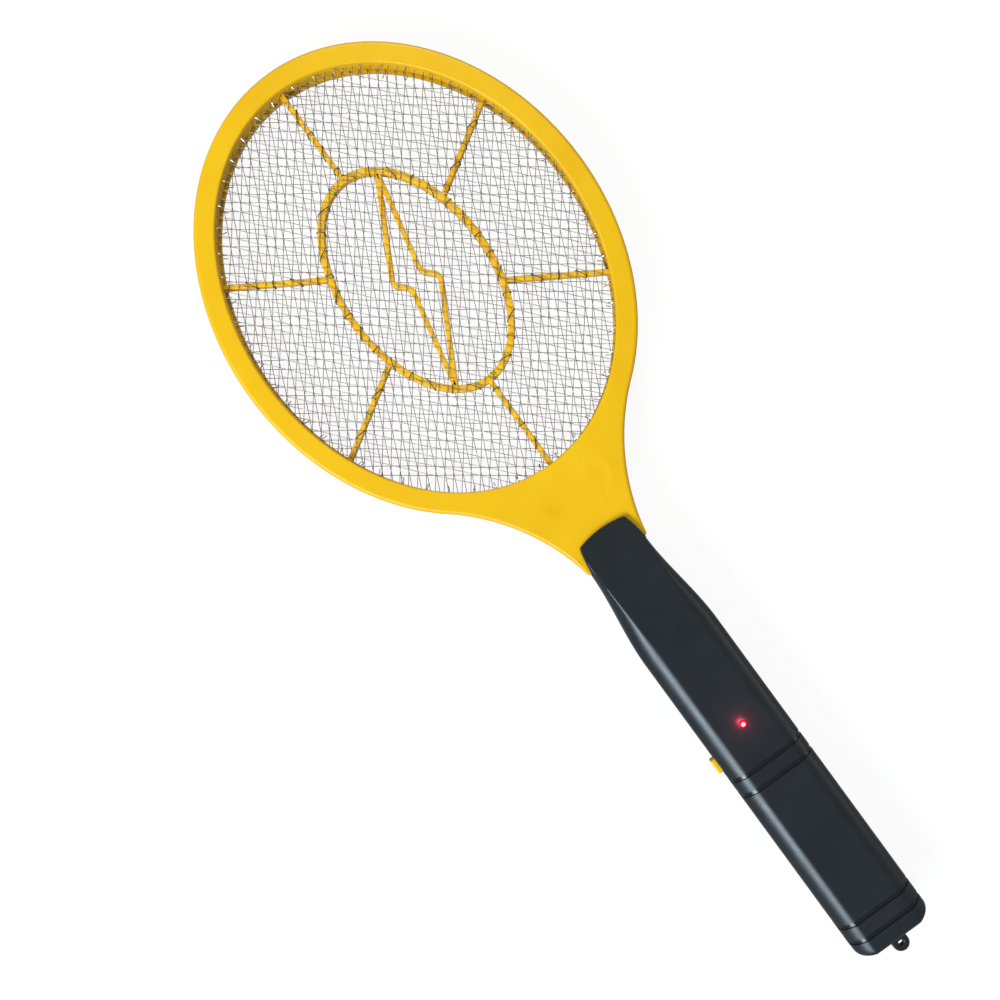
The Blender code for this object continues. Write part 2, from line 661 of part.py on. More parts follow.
def rear_shell(finish):
    shell = place("handle_rear_shell", shell_mesh("handle_rear_shell", -1), finish)
    cut(shell, cover_block("cover_opening", GAP))
    for number, (x, y) in enumerate(SCREW_SPOTS):
        bottom = -half_height(y)
        join(shell, rod_mesh("sleeve_%d" % number, POST_RADIUS,
                             (x, y, bottom + HANDLE_WALL / 2), (x, y, -GAP / 2)))
        cut(shell, rod_mesh("counterbore_%d" % number, SCREW_HEAD + GAP,
                            (x, y, bottom - MM), (x, y, bottom + SCREW_SINK)))
        cut(shell, rod_mesh("screw_hole_%d" % number, SCREW_RADIUS + GAP, (x, y, bottom), (x, y, GAP)))
    cut(shell, button_window("rear_button_window"))
    join(shell, switch_rest_mesh())
    x, inset = POST_SPOT
    for number, (side, y) in enumerate(((1, BOARD_TOP - inset), (-1, BOARD_TOP - inset),
                                        (1, BOARD_END + inset), (-1, BOARD_END + inset))):
        top = -BOARD_THICKNESS - GAP
        join(shell, rod_mesh("board_post_%d" % number, BOARD_POST_RADIUS,
                             (side * x, y, -half_height(y) + HANDLE_WALL / 2), (side * x, y, top), 10))
    return shell


def switch_x():
    """Outer face of the switch, from the button's flange."""
    return -(WALL_X - GAP - FLANGE_THICKNESS - SWITCH_SPACE)


def switch_rest_mesh():
    half = SWITCH_SIZE / 2
    return box_mesh("switch_rest", (switch_x(), BUTTON_Y - half, -HALF_DEPTH + HANDLE_WALL / 2),
                    (switch_x() + SWITCH_DEPTH, BUTTON_Y + half, -half - GAP))


def battery_cover(finish):
    """The slide-off cover: the rear shell's own wall, cut out flush with it."""
    cover = place("battery_cover", shell_mesh("battery_cover", -1), finish)
    combine(cover, cover_block("keep_cover", 0.0), "INTERSECT", "keep_cover")
    return cover


# ---------------------------------------------------------------- button and switch

def power_button(finish):
    outer = -HANDLE_WIDTH / 2 - BUTTON_PROUD
    flange = -WALL_X + GAP
    name = "power_button"
    cap = box_mesh(name, (outer, -BUTTON_LENGTH / 2, -BUTTON_HEIGHT / 2),
                   (flange + FLANGE_THICKNESS / 2, BUTTON_LENGTH / 2, BUTTON_HEIGHT / 2))
    button = place(name, cap, finish)
    button.location.y += BUTTON_Y
    half = (BUTTON_LENGTH / 2 + FLANGE_RIM, BUTTON_HEIGHT / 2 + FLANGE_RIM)
    rim = join(button, box_mesh("button_flange", (flange, -half[0], -half[1]),
                                (flange + FLANGE_THICKNESS, half[0], half[1])))
    rim.location.y += BUTTON_Y
    return button


def switch_pieces(body_finish, plunger_finish, spring_finish):
    face = switch_x()
    half = SWITCH_SIZE / 2
    body = place("push_switch_body", box_mesh("push_switch_body", (face, BUTTON_Y - half, -half),
                                              (face + SWITCH_DEPTH, BUTTON_Y + half, half)), body_finish)
    depth = BUTTON_TRAVEL + BORE_ROOM
    cut(body, rod_mesh("switch_bore", PLUNGER_RADIUS + GAP, (face - MM, BUTTON_Y, 0),
                       (face + depth, BUTTON_Y, 0)))
    start = face - SWITCH_SPACE + GAP
    place("push_switch_plunger", rod_mesh("push_switch_plunger", PLUNGER_RADIUS, (start, BUTTON_Y, 0),
                                          (face + PLUNGER_LAP, BUTTON_Y, 0), 12), plunger_finish)
    thick = RETURN_WIRE
    low, high = start + thick, face - GAP - thick
    turns, steps = 3, 8
    radius = PLUNGER_RADIUS + GAP + 2 * thick
    coil = []
    for i in range(turns * steps + 1):
        t = 2 * math.pi * i / steps
        x = low + (high - low) * i / (turns * steps)
        coil.append((x, BUTTON_Y + radius * math.cos(t), radius * math.sin(t)))
    wire("button_spring", coil, thick, spring_finish, 1)


# ---------------------------------------------------------------- power

def battery(name, x, up, finish):
    """An AA cell; up is 1 where its raised end points to the head."""
    far = bay_end()
    if up > 0:
        nose = BAY_TOP - GAP - CONTACT_THICKNESS - GAP
    else:
        nose = far + GAP + CONTACT_THICKNESS + GAP
    edge = CELL_EDGE
    length = BATTERY_NUB + BATTERY_CAN
    profile = [(0.0, 0.0), (NUB_RADIUS - edge, 0.0), (NUB_RADIUS, edge), (NUB_RADIUS, BATTERY_NUB),
               (BATTERY_RADIUS - edge, BATTERY_NUB), (BATTERY_RADIUS, BATTERY_NUB + edge),
               (BATTERY_RADIUS, length - edge), (BATTERY_RADIUS - edge, length), (0.0, length)]
    return turned(name, profile, (x, nose, 0.0), (0, -up, 0), finish, 18)


def contact_spring(name, x, base, direction, finish):
    """A cone-shaped coil between a contact plate and a cell's flat end."""
    turns, steps = 3, 8
    coil = []
    for i in range(turns * steps + 1):
        share = i / (turns * steps)
        t = 2 * math.pi * i / steps
        radius = SPRING_WIDE + (SPRING_NARROW - SPRING_WIDE) * share
        y = base + direction * (SPRING_WIRE + (SPRING_LENGTH - 2 * SPRING_WIRE) * share)
        coil.append((x + radius * math.cos(t), y, radius * math.sin(t)))
    return wire(name, coil, SPRING_WIRE, finish, 1)


def battery_bay(cell, steel, red, black):
    x = BATTERY_SPACING / 2
    half = CONTACT_SIZE / 2
    far = bay_end()
    top_plate = BAY_TOP - GAP
    battery("battery_left", -x, -1, cell)
    battery("battery_right", x, 1, cell)
    for name, side in (("negative_contact", -1), ("positive_contact", 1)):
        place(name, box_mesh(name, (side * x - half, top_plate - CONTACT_THICKNESS, -half),
                             (side * x + half, top_plate, half)), steel)
    place("bridge_contact", box_mesh("bridge_contact", (-x - half, far + GAP, -half),
                                     (x + half, far + GAP + CONTACT_THICKNESS, half)), steel)
    contact_spring("contact_spring_top", -x, top_plate - CONTACT_THICKNESS - GAP, -1, steel)
    contact_spring("contact_spring_end", x, far + 2 * GAP + CONTACT_THICKNESS, 1, steel)
    board_edge = BOARD_END - LEAD_RADIUS - GAP
    level = -BOARD_THICKNESS / 2
    out = x + half + LEAD_RADIUS + GAP
    post = SCREW_SPOTS[1][0] + POST_RADIUS + LEAD_RADIUS + 2 * GAP
    start = top_plate - CONTACT_THICKNESS / 2
    route = [(out, start, -2 * MM), (max(out, post), start + 6 * MM, -2 * MM),
             (max(out, post), SCREW_SPOTS[1][1] + 2 * MM, -1.5 * MM), (9.5 * MM, board_edge, level)]
    wire("battery_lead_red", through(route, 5), LEAD_RADIUS, red)
    inner = -x + half + LEAD_RADIUS + GAP
    route = [(inner, start, -4 * MM), (inner, start + 7 * MM, -4.5 * MM),
             (-2 * MM, BUTTON_Y - 6 * MM, -4 * MM), (-3.5 * MM, BUTTON_Y, -3 * MM),
             (-4 * MM, board_edge, level)]
    wire("battery_lead_black", through(route, 5), LEAD_RADIUS, black)


# ---------------------------------------------------------------- circuit board

def capacitor(name, x, y, size, finish):
    """A boxy component that stands on the board; size is across, along and up."""
    across, along = size[0] / 2, size[1] / 2
    block = box_mesh(name, (x - across, y - along, GAP), (x + across, y + along, GAP + size[2]))
    return place(name, block, finish)


def transformer(core_finish, bobbin_finish, winding_finish):
    """A small ferrite core laid flat, with a wound bobbin on its middle leg."""
    leg, window, outer, yoke = 1.7 * MM, 3.6 * MM, 1.9 * MM, 2.0 * MM
    reach, half_long = leg + window + outer, 6.6 * MM
    level, thick = 4.75 * MM, 5.4 * MM
    y = TRANSFORMER_Y
    outline = [(-reach, y - half_long), (reach, y - half_long),
               (reach, y + half_long), (-reach, y + half_long)]
    inside = half_long - yoke
    holes = []
    for side in (-1, 1):
        a, b = sorted((side * leg, side * (leg + window)))
        holes.append([(a, y - inside), (b, y - inside), (b, y + inside), (a, y + inside)])
    core = prism_mesh("transformer_core", [outline] + holes, level - thick / 2, level + thick / 2)
    place("transformer_core", core, core_finish)

    def sleeve(name, half_x, half_z, start, end, hole_x, hole_z):
        data = box_mesh(name, (-half_x, y + start, level - half_z), (half_x, y + end, level + half_z))
        bore = box_mesh(name + "_bore", (-hole_x, y - 2 * half_long, level - hole_z),
                        (hole_x, y + 2 * half_long, level + hole_z))
        return data, bore

    hole_x, hole_z = leg + GAP, thick / 2 + GAP
    tube_x, tube_z = hole_x + 0.5 * MM, hole_z + 0.4 * MM
    flange_x, flange_z = leg + window - GAP, 4.2 * MM
    end = inside - GAP
    flange = 0.7 * MM
    tube, bore = sleeve("transformer_bobbin", tube_x, tube_z, -end, end, hole_x, hole_z)
    bobbin = place("transformer_bobbin", tube, bobbin_finish)
    for number, (a, b) in enumerate(((-end, -end + flange), (end - flange, end))):
        join(bobbin, box_mesh("flange_%d" % number, (-flange_x, y + a, level - flange_z),
                              (flange_x, y + b, level + flange_z)))
    cut(bobbin, bore)
    coil = end - flange - GAP
    winding, bore = sleeve("transformer_winding", flange_x - GAP, flange_z - GAP, -coil, coil,
                           tube_x + GAP, tube_z + GAP)
    cut(place("transformer_winding", winding, winding_finish), bore)


def axial_piece(name, x, y, size, finish):
    """A diode or resistor lying across the board, with its two straight legs."""
    body_radius, body_length = size
    leg, reach = LEG_RADIUS, LEG_LENGTH
    total = body_length + 2 * reach
    profile = [(0.0, 0.0), (leg, 0.0), (leg, reach), (body_radius, reach), (body_radius, reach + body_length),
               (leg, reach + body_length), (leg, total), (0.0, total)]
    return turned(name, profile, (x - total / 2, y, body_radius + GAP), (1, 0, 0), finish, 8)


def circuit(board, ceramic, black, glassy, banded, brown):
    """The board, the capacitors and diodes of the voltage multiplier, three resistors and a transistor."""
    half = BOARD_WIDTH / 2
    place("circuit_board", box_mesh("circuit_board", (-half, BOARD_END, -BOARD_THICKNESS),
                                    (half, BOARD_TOP, 0.0)), board)
    capacitor("discharge_capacitor", 0.0, TRANSFORMER_Y - 18.5 * MM, CAPACITOR_SIZE, brown)
    for number in range(STAGES):
        y = TRANSFORMER_Y - 26.5 * MM - STAGE_PITCH * number
        capacitor("multiplier_capacitor_%d" % (number + 1), 6.5 * MM, y, SMALL_CAPACITOR, ceramic)
        axial_piece("rectifier_diode_%d" % (number + 1), -4.8 * MM, y, DIODE_SIZE, glassy)
        y = BOARD_TOP - 3.2 * MM - RESISTOR_PITCH * number
        axial_piece("resistor_%d" % (number + 1), -5.0 * MM, y, RESISTOR_SIZE, banded)
    x, y = 6.0 * MM, BOARD_TOP - 6 * MM
    outline = [(x + TRANSISTOR_RADIUS * math.cos(t), y + TRANSISTOR_RADIUS * math.sin(t))
               for t in (math.radians(-40 + 260 * i / 12) for i in range(13))]
    place("transistor", stack_mesh("transistor", [(outline, z) for z in TRANSISTOR_SPAN]), black)


def indicator(finish, leg_finish):
    """The lamp in the front panel and its two legs down to the board."""
    top = HALF_DEPTH + LED_PROUD
    radius = LED_RADIUS
    dome = [(radius * math.sin(t), radius * (1 - math.cos(t)))
            for t in (math.pi / 2 * i / 5 for i in range(6))]
    rim, foot = LED_FOOT
    profile = dome + [(radius, LED_LENGTH), (radius + rim, LED_LENGTH), (radius + rim, LED_LENGTH + foot),
                      (0.0, LED_LENGTH + foot)]
    turned("indicator_led", profile, (0, LED_Y, top), (0, 0, -1), finish, 16)
    low = top - LED_LENGTH - foot - GAP
    thin, x = LED_LEG
    for number, side in enumerate((-1, 1)):
        name = "led_leg_%d" % (number + 1)
        place(name, rod_mesh(name, thin, (side * x, LED_Y, GAP), (side * x, LED_Y, low), 8), leg_finish)


def screws(finish):
    for number, (x, y) in enumerate(SCREW_SPOTS):
        bottom = -half_height(y) + SCREW_SINK - SCREW_HEAD_DEPTH - GAP
        crown = 0.3 * MM
        profile = [(0.0, 0.0), (SCREW_HEAD - crown, 0.0), (SCREW_HEAD, crown), (SCREW_HEAD, SCREW_HEAD_DEPTH),
                   (SCREW_RADIUS, SCREW_HEAD_DEPTH), (SCREW_RADIUS, SCREW_LENGTH - MM),
                   (0.0, SCREW_LENGTH)]
        turned("handle_screw_%d" % (number + 1), profile, (x, y, bottom), (0, 0, 1), finish, 12)


# ---------------------------------------------------------------- the whole swatter

def build():
    clear_scene()
    yellow = material("yellow_abs", (0.84, 0.49, 0.02), 0.35)
    black = material("black_abs", (0.03, 0.033, 0.038), 0.4)
    steel = material("steel_wire", (0.5, 0.5, 0.5), 0.35, 1.0)
    nickel = material("nickel_plate", (0.62, 0.6, 0.56), 0.25, 1.0)
    brass = material("brass_tab", (0.72, 0.52, 0.22), 0.3, 1.0)
    copper = material("enamelled_copper", (0.55, 0.2, 0.06), 0.35, 0.8)
    ferrite = material("ferrite", (0.06, 0.06, 0.065), 0.6)
    board = material("circuit_laminate", (0.35, 0.2, 0.07), 0.5)
    red = material("red_insulation", (0.55, 0.02, 0.02), 0.45)
    dark = material("black_insulation", (0.02, 0.02, 0.02), 0.5)
    lamp = material("red_lens", (0.8, 0.03, 0.05), 0.15)
    cell = material("cell_jacket", (0.05, 0.12, 0.22), 0.35, 0.3)
    cream = material("resistor_body", (0.6, 0.45, 0.28), 0.5)
    ceramic = material("ceramic_blue", (0.08, 0.2, 0.45), 0.45)
    brown = material("capacitor_resin", (0.32, 0.07, 0.03), 0.3)

    head_frame("head_frame_front", 1, yellow)
    head_frame("head_frame_rear", -1, yellow)
    wire_mesh("mesh_front", 1, FRONT_WIRES, steel)
    wire_mesh("mesh_rear", -1, REAR_WIRES, steel)
    mesh_spacer(yellow)
    for end, side, sign, colour in (("front", 1, 1, red), ("rear", -1, -1, dark)):
        mesh_terminal("mesh_terminal_" + end, side, sign, brass)
        high_voltage_lead("mesh_lead_" + end, side, sign, colour)
    front_shell(black)
    rear_shell(black)
    battery_cover(black)
    power_button(yellow)
    switch_pieces(dark, cream, nickel)
    battery_bay(cell, nickel, red, dark)
    circuit(board, ceramic, dark, ferrite, cream, brown)
    transformer(ferrite, dark, copper)
    indicator(lamp, nickel)
    screws(nickel)


build()
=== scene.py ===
"""Looks of the electric fly swatter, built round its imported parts.

Every size is in millimetres, counted from the middle of the head: +Y to the head's tip, +Z out of the
front face, and z 0 on the seam between front and rear. put() turns them into metres in the shared frame.
"""

import math

import bmesh
import bpy
import numpy as np
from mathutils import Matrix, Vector


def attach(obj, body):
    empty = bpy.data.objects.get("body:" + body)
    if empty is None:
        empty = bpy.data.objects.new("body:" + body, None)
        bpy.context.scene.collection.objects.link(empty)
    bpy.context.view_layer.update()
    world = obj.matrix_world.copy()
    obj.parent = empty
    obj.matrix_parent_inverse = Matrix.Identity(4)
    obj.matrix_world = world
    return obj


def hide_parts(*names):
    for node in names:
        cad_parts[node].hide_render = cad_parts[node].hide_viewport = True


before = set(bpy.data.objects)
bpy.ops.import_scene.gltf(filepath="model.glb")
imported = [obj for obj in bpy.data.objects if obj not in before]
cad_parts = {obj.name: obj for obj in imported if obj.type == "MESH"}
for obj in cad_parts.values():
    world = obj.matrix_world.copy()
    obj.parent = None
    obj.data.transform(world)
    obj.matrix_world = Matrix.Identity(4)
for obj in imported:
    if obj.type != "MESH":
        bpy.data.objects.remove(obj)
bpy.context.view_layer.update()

# ---------------------------------------------------------------- sizes

MM = 0.001
HEAD_Y = 121.1
MID = 11.0
GAP = 0.3

HOOP_A, HOOP_B = 85.0, 104.6
RIM_WIDTH = 9.2
INNER_A, INNER_B = HOOP_A - RIM_WIDTH, HOOP_B - RIM_WIDTH
HOOP_TOP = 6.5
RIM_ROUND = 1.8
INNER_ROUND = 0.8
WALL = 2.0
THROAT_RADIUS = 94.7
THROAT_START = -56.0
EAR_END, EAR_ROUND, EAR_CORNER = -142.7, 0.4, 2.4
EAR_RUN, EAR_TIGHT = 9.0, 0.3
THUMB_SPOT, THUMB_SIZE, THUMB_DEPTH = (2.5, -110.5), (15.0, 8.0), 0.35
LEDGE_TOP, LEDGE_LOW = 4.6, 3.3
TANG_HALF, TANG_ROOT, TANG_END = 9.0, 0.8, -163.0

MESH_MID = 2.8
MESH_PITCH = 3.72
WIRE_RADIUS = 0.155
WEAVE = 0.2
MESH_LAP = 3.0
MOST_WIRES = 30
SWAY, DRIFT = 0.32, 0.55
FRONT_WIRES = (51.8, -48.7)
REAR_WIRES = (64.8, -36.2)

RIB_WIDTH, RING_RIB, RIB_DEPTH = 2.2, 3.0, 4.6
RING_A, RING_B = 32.0, 51.5
SPOKE_AT_RING, SPOKE_AT_RIM = 24.5, 28.0
BAND_OUT, BAND_IN = 3.5, 0.6
RIB_ROUND, BAND_ROUND, BOLT_ROUND = 0.5, 0.4, 2.4
BOLT_CORNERS = ((0.417, 0.902), (-0.293, 0.077), (-0.114, -0.035))
LACING_STEP = 9.3
LACING_RADIUS = 0.2
LACING_OFF, LACING_HALF, LACING_SLANT = 0.25, 3.45, 2.4
LACING_START = 5.0
HOOKS = 54
HOOK_RADIUS = 0.2
HOOK_LEAN, HOOK_START, HOOK_REACH, HOOK_RISE = 0.8, -2.6, 3.1, 1.5

HANDLE_END = -337.5
HANDLE_WIDTH = 35.6
HANDLE_WALL = 1.7
HALF_DEPTH = 11.0
PANEL_WIDTH = 21.6
NECK_WIDTH, NECK_PANEL, NECK_LENGTH = 27.6, 24.8, 45.0
TONGUE_TIP, TONGUE_WIDTH, TONGUE_PLATE, TONGUE_ARC = -129.0, 22.6, 1.6, 1.6
END_CORNER, END_EDGE, TIP_EDGE = 4.6, 2.5, 0.35
FLANK_LEAST = 0.6
SIDE_HEIGHT = 0.35
LEAN = math.radians(28.0)
GROOVES = (-246.0, -253.6, -321.3, -329.1)
GROOVE_DEPTH, GROOVE_HALF, GROOVE_WALL = 0.5, 1.0, 0.22
LUG_RADIUS, LUG_REACH, LUG_DEPTH = 3.7, 9.3, 2.5
LUG_HOLE = (1.3, 0.9)
LUG_EDGE, LUG_ROOT = 0.5, 0.8

COVER_START, COVER_HALF, COVER_TOP = -249.8, 13.5, -3.5
BUTTON_Y, BUTTON_LENGTH, BUTTON_HEIGHT, BUTTON_PROUD = -238.5, 6.7, 4.8, 2.0
BUTTON_ROUND, BUTTON_INNER = 0.7, -13.0
RIDGE, RIDGE_PITCH = 0.12, 1.9
LED_Y, LED_RADIUS, LED_PROUD = -227.9, 1.5, 0.8
LED_BARREL, LED_FOOT = 4.2, 5.2
SCREW_SPOTS = ((0.0, -153.0), (8.5, -245.4), (-8.5, -245.4))
COUNTERBORE, COUNTERBORE_DEPTH, SCREW_HEAD, SCREW_BOSS = 2.5, 2.4, 1.2, 3.4
FINGER_RIBS, FINGER_START, FINGER_STEP, FINGER_DEPTH = 6, 10.5, 2.4, 0.45
BAY_TOP, BULKHEAD = -257.1, 1.2
BATTERY_X, BATTERY_RADIUS, BATTERY_CAN, BATTERY_NUB = 7.4, 7.1, 49.2, 1.3
CELL_EDGE, SHOULDER = 0.5, 11.0
SPRING_LENGTH, CONTACT = 6.0, 0.4
COIL_WIDE, COIL_TAPER, COIL_TURNS, COIL_WIRE = 4.2, 1.7, 3, 0.4
BAY_END = BAY_TOP - (2 * CONTACT + 5 * GAP + BATTERY_CAN + BATTERY_NUB + SPRING_LENGTH)

# ---------------------------------------------------------------- mesh tools


def put(points):
    """Millimetres from the head's centre, as metres in the shared frame."""
    return (np.asarray(points, float) + (0.0, HEAD_Y, MID)) * MM


def quads(rows, columns, around=True, closed=False):
    """Four-cornered faces of a grid of points: around joins its last column to its first, closed its rows."""
    r = np.arange(rows if closed else rows - 1)[:, None]
    c = np.arange(columns if around else columns - 1)[None, :]
    after, up = (c + 1) % columns, (r + 1) % rows
    return np.stack([r * columns + c, r * columns + after, up * columns + after, up * columns + c],
                    axis=-1).reshape(-1, 4)


def raised(flat, height):
    """A grid of flat points, each with its height as a third value."""
    return np.concatenate([flat, np.broadcast_to(height, flat.shape[:2])[..., None]], axis=2)


def stack(rows, columns):
    """Faces of a tube of closed rows, with a flat cap on its first and last."""
    cap = np.arange(columns)[None, :]
    return [quads(rows, columns), cap[:, ::-1], cap + (rows - 1) * columns]


def solid(name, points, faces, finish, tidy=True, sharp=34.0):
    """A closed piece from its points in millimetres and arrays of faces, three or more corners to a row.
    tidy joins points that meet, such as a pole's, and turns every face outwards."""
    blocks = [np.asarray(block, np.int32) for block in faces]
    corners = np.concatenate([block.ravel() for block in blocks])
    sizes = np.concatenate([np.full(len(block), block.shape[1], np.int32) for block in blocks])
    data = bpy.data.meshes.new(name)
    data.vertices.add(len(points))
    data.vertices.foreach_set("co", put(points).astype(np.float32).ravel())
    data.loops.add(len(corners))
    data.loops.foreach_set("vertex_index", corners)
    data.polygons.add(len(sizes))
    data.polygons.foreach_set("loop_start", np.cumsum(sizes) - sizes)
    data.update(calc_edges=True)
    data.validate()
    if tidy:
        shape = bmesh.new()
        shape.from_mesh(data)
        bmesh.ops.remove_doubles(shape, verts=shape.verts, dist=1e-6)
        bmesh.ops.recalc_face_normals(shape, faces=shape.faces)
        shape.to_mesh(data)
        shape.free()
    data.materials.append(finish)
    piece = bpy.data.objects.new(name, data)
    bpy.context.scene.collection.objects.link(piece)
    return shade(piece, sharp)


def shade(piece, sharp=34.0):
    """Smooth shading, with a hard line wherever two faces meet at more than sharp degrees."""
    data = piece.data
    data.polygons.foreach_set("use_smooth", np.ones(len(data.polygons), bool))
    data.set_sharp_from_angle(angle=math.radians(sharp))
    return piece


def carve(piece, tool, operation="DIFFERENCE", sharp=34.0):
    """Cuts one closed mesh with another for good, and throws the tool away."""
    step = piece.modifiers.new("carve", "BOOLEAN")
    step.operation, step.solver, step.object = operation, "EXACT", tool
    graph = bpy.context.evaluated_depsgraph_get()
    data = bpy.data.meshes.new_from_object(piece.evaluated_get(graph))
    piece.modifiers.clear()
    old, piece.data = piece.data, data
    data.name = piece.name
    spent = tool.data
    bpy.data.objects.remove(tool)
    bpy.data.meshes.remove(old)
    bpy.data.meshes.remove(spent)
    return shade(piece, sharp)


def ease(value):
    """Smooth step v^2 (3 - 2v) of a value held between 0 and 1."""
    value = np.clip(value, 0.0, 1.0)
    return value * value * (3 - 2 * value)


def unit(vectors):
    """The same directions, each one long."""
    return vectors / np.linalg.norm(vectors, axis=-1, keepdims=True)


def outward(path):
    """Unit normals of a closed flat path that runs anticlockwise: its direction turned a quarter right."""
    ahead = unit(np.roll(path, -1, axis=0) - np.roll(path, 1, axis=0))
    return np.stack([ahead[:, 1], -ahead[:, 0]], axis=1)


def rounded(corners, radius, steps=6):
    """A closed flat outline whose corners are eased by a parabola (1-t)^2 A + 2t(1-t) C + t^2 B,
    A and B lying on the two sides, at radius from the corner C."""
    c = np.asarray(corners, float)
    radius = np.broadcast_to(np.asarray(radius, float), len(c))[:, None]
    a = c + unit(np.roll(c, 1, axis=0) - c) * radius
    b = c + unit(np.roll(c, -1, axis=0) - c) * radius
    t = np.linspace(0, 1, steps)[None, :, None]
    arcs = (1 - t) ** 2 * a[:, None] + 2 * t * (1 - t) * c[:, None] + t ** 2 * b[:, None]
    return arcs.reshape(-1, 2)


def spaced(path, count):
    """count points at equal distances round a closed flat path."""
    loop = np.vstack([path, path[:1]])
    run = np.concatenate([[0], np.cumsum(np.linalg.norm(np.diff(loop, axis=0), axis=1))])
    at = np.arange(count) * run[-1] / count
    return np.stack([np.interp(at, run, loop[:, 0]), np.interp(at, run, loop[:, 1])], axis=1)


def ellipse(a, b, count):
    """count points (a cos t, b sin t) at equal steps of t."""
    turn = np.arange(count) * 2 * math.pi / count
    return np.stack([a * np.cos(turn), b * np.sin(turn)], axis=1)


def rounded_bar(half_u, half_v, radius, steps=4):
    """Outline of a bar's section: a rectangle with eased corners."""
    corners = [(half_u, -half_v), (half_u, half_v), (-half_u, half_v), (-half_u, -half_v)]
    return rounded(corners, radius, steps)


def tubes(lines, radius, sides, up=(0, 0, 1), closed=False):
    """Round wires: about each point P of a line, sides points P + radius (cos a S + sin a N), where S is the
    line's direction crossed with up and N is the direction crossed with S. lines is (wires, points, 3)."""
    lines = np.asarray(lines, float)
    wires, length = lines.shape[:2]
    if closed:
        ahead = np.roll(lines, -1, axis=1) - np.roll(lines, 1, axis=1)
    else:
        ahead = np.gradient(lines, axis=1)
    ahead = unit(ahead)
    side = unit(np.cross(ahead, np.broadcast_to(up, lines.shape)))
    normal = np.cross(ahead, side)
    turn = np.arange(sides) * 2 * math.pi / sides
    ring = side[:, :, None] * np.cos(turn)[:, None] + normal[:, :, None] * np.sin(turn)[:, None]
    points = (lines[:, :, None] + ring * radius).reshape(-1, 3)
    first = (np.arange(wires) * length * sides)[:, None]
    skin = quads(length, sides, closed=closed)
    faces = [(first[:, :, None] + skin[None]).reshape(-1, 4)]
    if not closed:
        cap = np.arange(sides)[None, :]
        faces += [first + cap[:, ::-1], first + (length - 1) * sides + cap]
    return points, faces


def joined(*shapes):
    """Several (points, faces) shapes as one."""
    points, faces, base = [], [], 0
    for some, blocks in shapes:
        points.append(some)
        faces += [np.asarray(block) + base for block in blocks]
        base += len(some)
    return np.concatenate(points), faces


def loop_bar(path, section):
    """A section (out, up) carried round a closed flat path."""
    out = outward(path)
    flat = path[:, None] + out[:, None] * section[None, :, :1]
    return raised(flat, section[:, 1]).reshape(-1, 3), [quads(len(path), len(section), closed=True)]


def straight_bar(start, end, section):
    """A section (across, up) carried from one flat point to another, with flat ends."""
    start, end = np.array(start, float), np.array(end, float)
    ahead = unit(end - start)
    across = np.array([ahead[1], -ahead[0]])
    path = np.array([start, end])
    flat = path[:, None] + across * section[None, :, :1]
    return raised(flat, section[:, 1]).reshape(-1, 3), stack(2, len(section))


def prism(outline, low, high):
    """A flat outline with a straight wall from one height to another."""
    outline = np.asarray(outline, float)
    count = len(outline)
    points = np.concatenate([np.column_stack([outline, np.full(count, z)]) for z in (low, high)])
    return points, stack(2, count)


def turned(profile, start, axis, steps=32):
    """A turned shape: profile gives (radius, distance along the axis) from start. Each row is a circle."""
    profile = np.asarray(profile, float)
    axis = unit(np.asarray(axis, float))
    helper = np.array((0.0, 0.0, 1.0)) if abs(axis[2]) < 0.9 else np.array((1.0, 0.0, 0.0))
    one = unit(np.cross(axis, helper))
    two = np.cross(axis, one)
    turn = np.arange(steps) * 2 * math.pi / steps
    ring = np.cos(turn)[:, None] * one + np.sin(turn)[:, None] * two
    points = np.asarray(start, float) + profile[:, None, 1:] * axis + profile[:, None, :1] * ring[None]
    return points.reshape(-1, 3), [quads(len(profile), steps)]


def quarter(radius, steps):
    """(inset, drop) along a quarter round, from the upright side to the flat top."""
    turn = np.linspace(0, math.pi / 2, steps)
    return radius * (1 - np.cos(turn)), radius * (1 - np.sin(turn))


# ---------------------------------------------------------------- finishes


def srgb(code):
    """A hex colour as the linear values that the shader takes."""
    part = np.array([int(code[i:i + 2], 16) for i in (1, 3, 5)]) / 255
    linear = np.where(part <= 0.04045, part / 12.92, ((part + 0.055) / 1.055) ** 2.4)
    return (*linear, 1.0)


def add(tree, kind, settings, inputs):
    """One node with its settings and its inputs, each a value or the output to link to it."""
    made = tree.nodes.new("ShaderNode" + kind)
    for key, value in settings.items():
        setattr(made, key, value)
    for key, value in inputs.items():
        if isinstance(value, bpy.types.NodeSocket):
            tree.links.new(value, made.inputs[key])
        else:
            made.inputs[key].default_value = value
    return made


def per_mm(size):
    """Texture scale, per metre, of a pattern that repeats about every size millimetres."""
    return 1.0 / (size * MM)


def begin(name):
    """A new material: itself, its node tree, its shader and the place on the object."""
    made = bpy.data.materials.new(name)
    made.use_nodes = True
    tree = made.node_tree
    place = add(tree, "TexCoord", {}, {}).outputs["Object"]
    return made, tree, tree.nodes["Principled BSDF"], place


def speckle(tree, place, size, detail=2.0, stretch=(1.0, 1.0, 1.0)):
    """Noise of about this grain in millimetres, from 0 to 1, longer where stretch is below 1."""
    spread = add(tree, "Mapping", {}, {"Vector": place, "Scale": stretch})
    grain = add(tree, "TexNoise", {}, {"Vector": spread.outputs["Vector"], "Scale": per_mm(size),
                                       "Detail": detail, "Roughness": 0.55})
    return grain.outputs["Fac"]


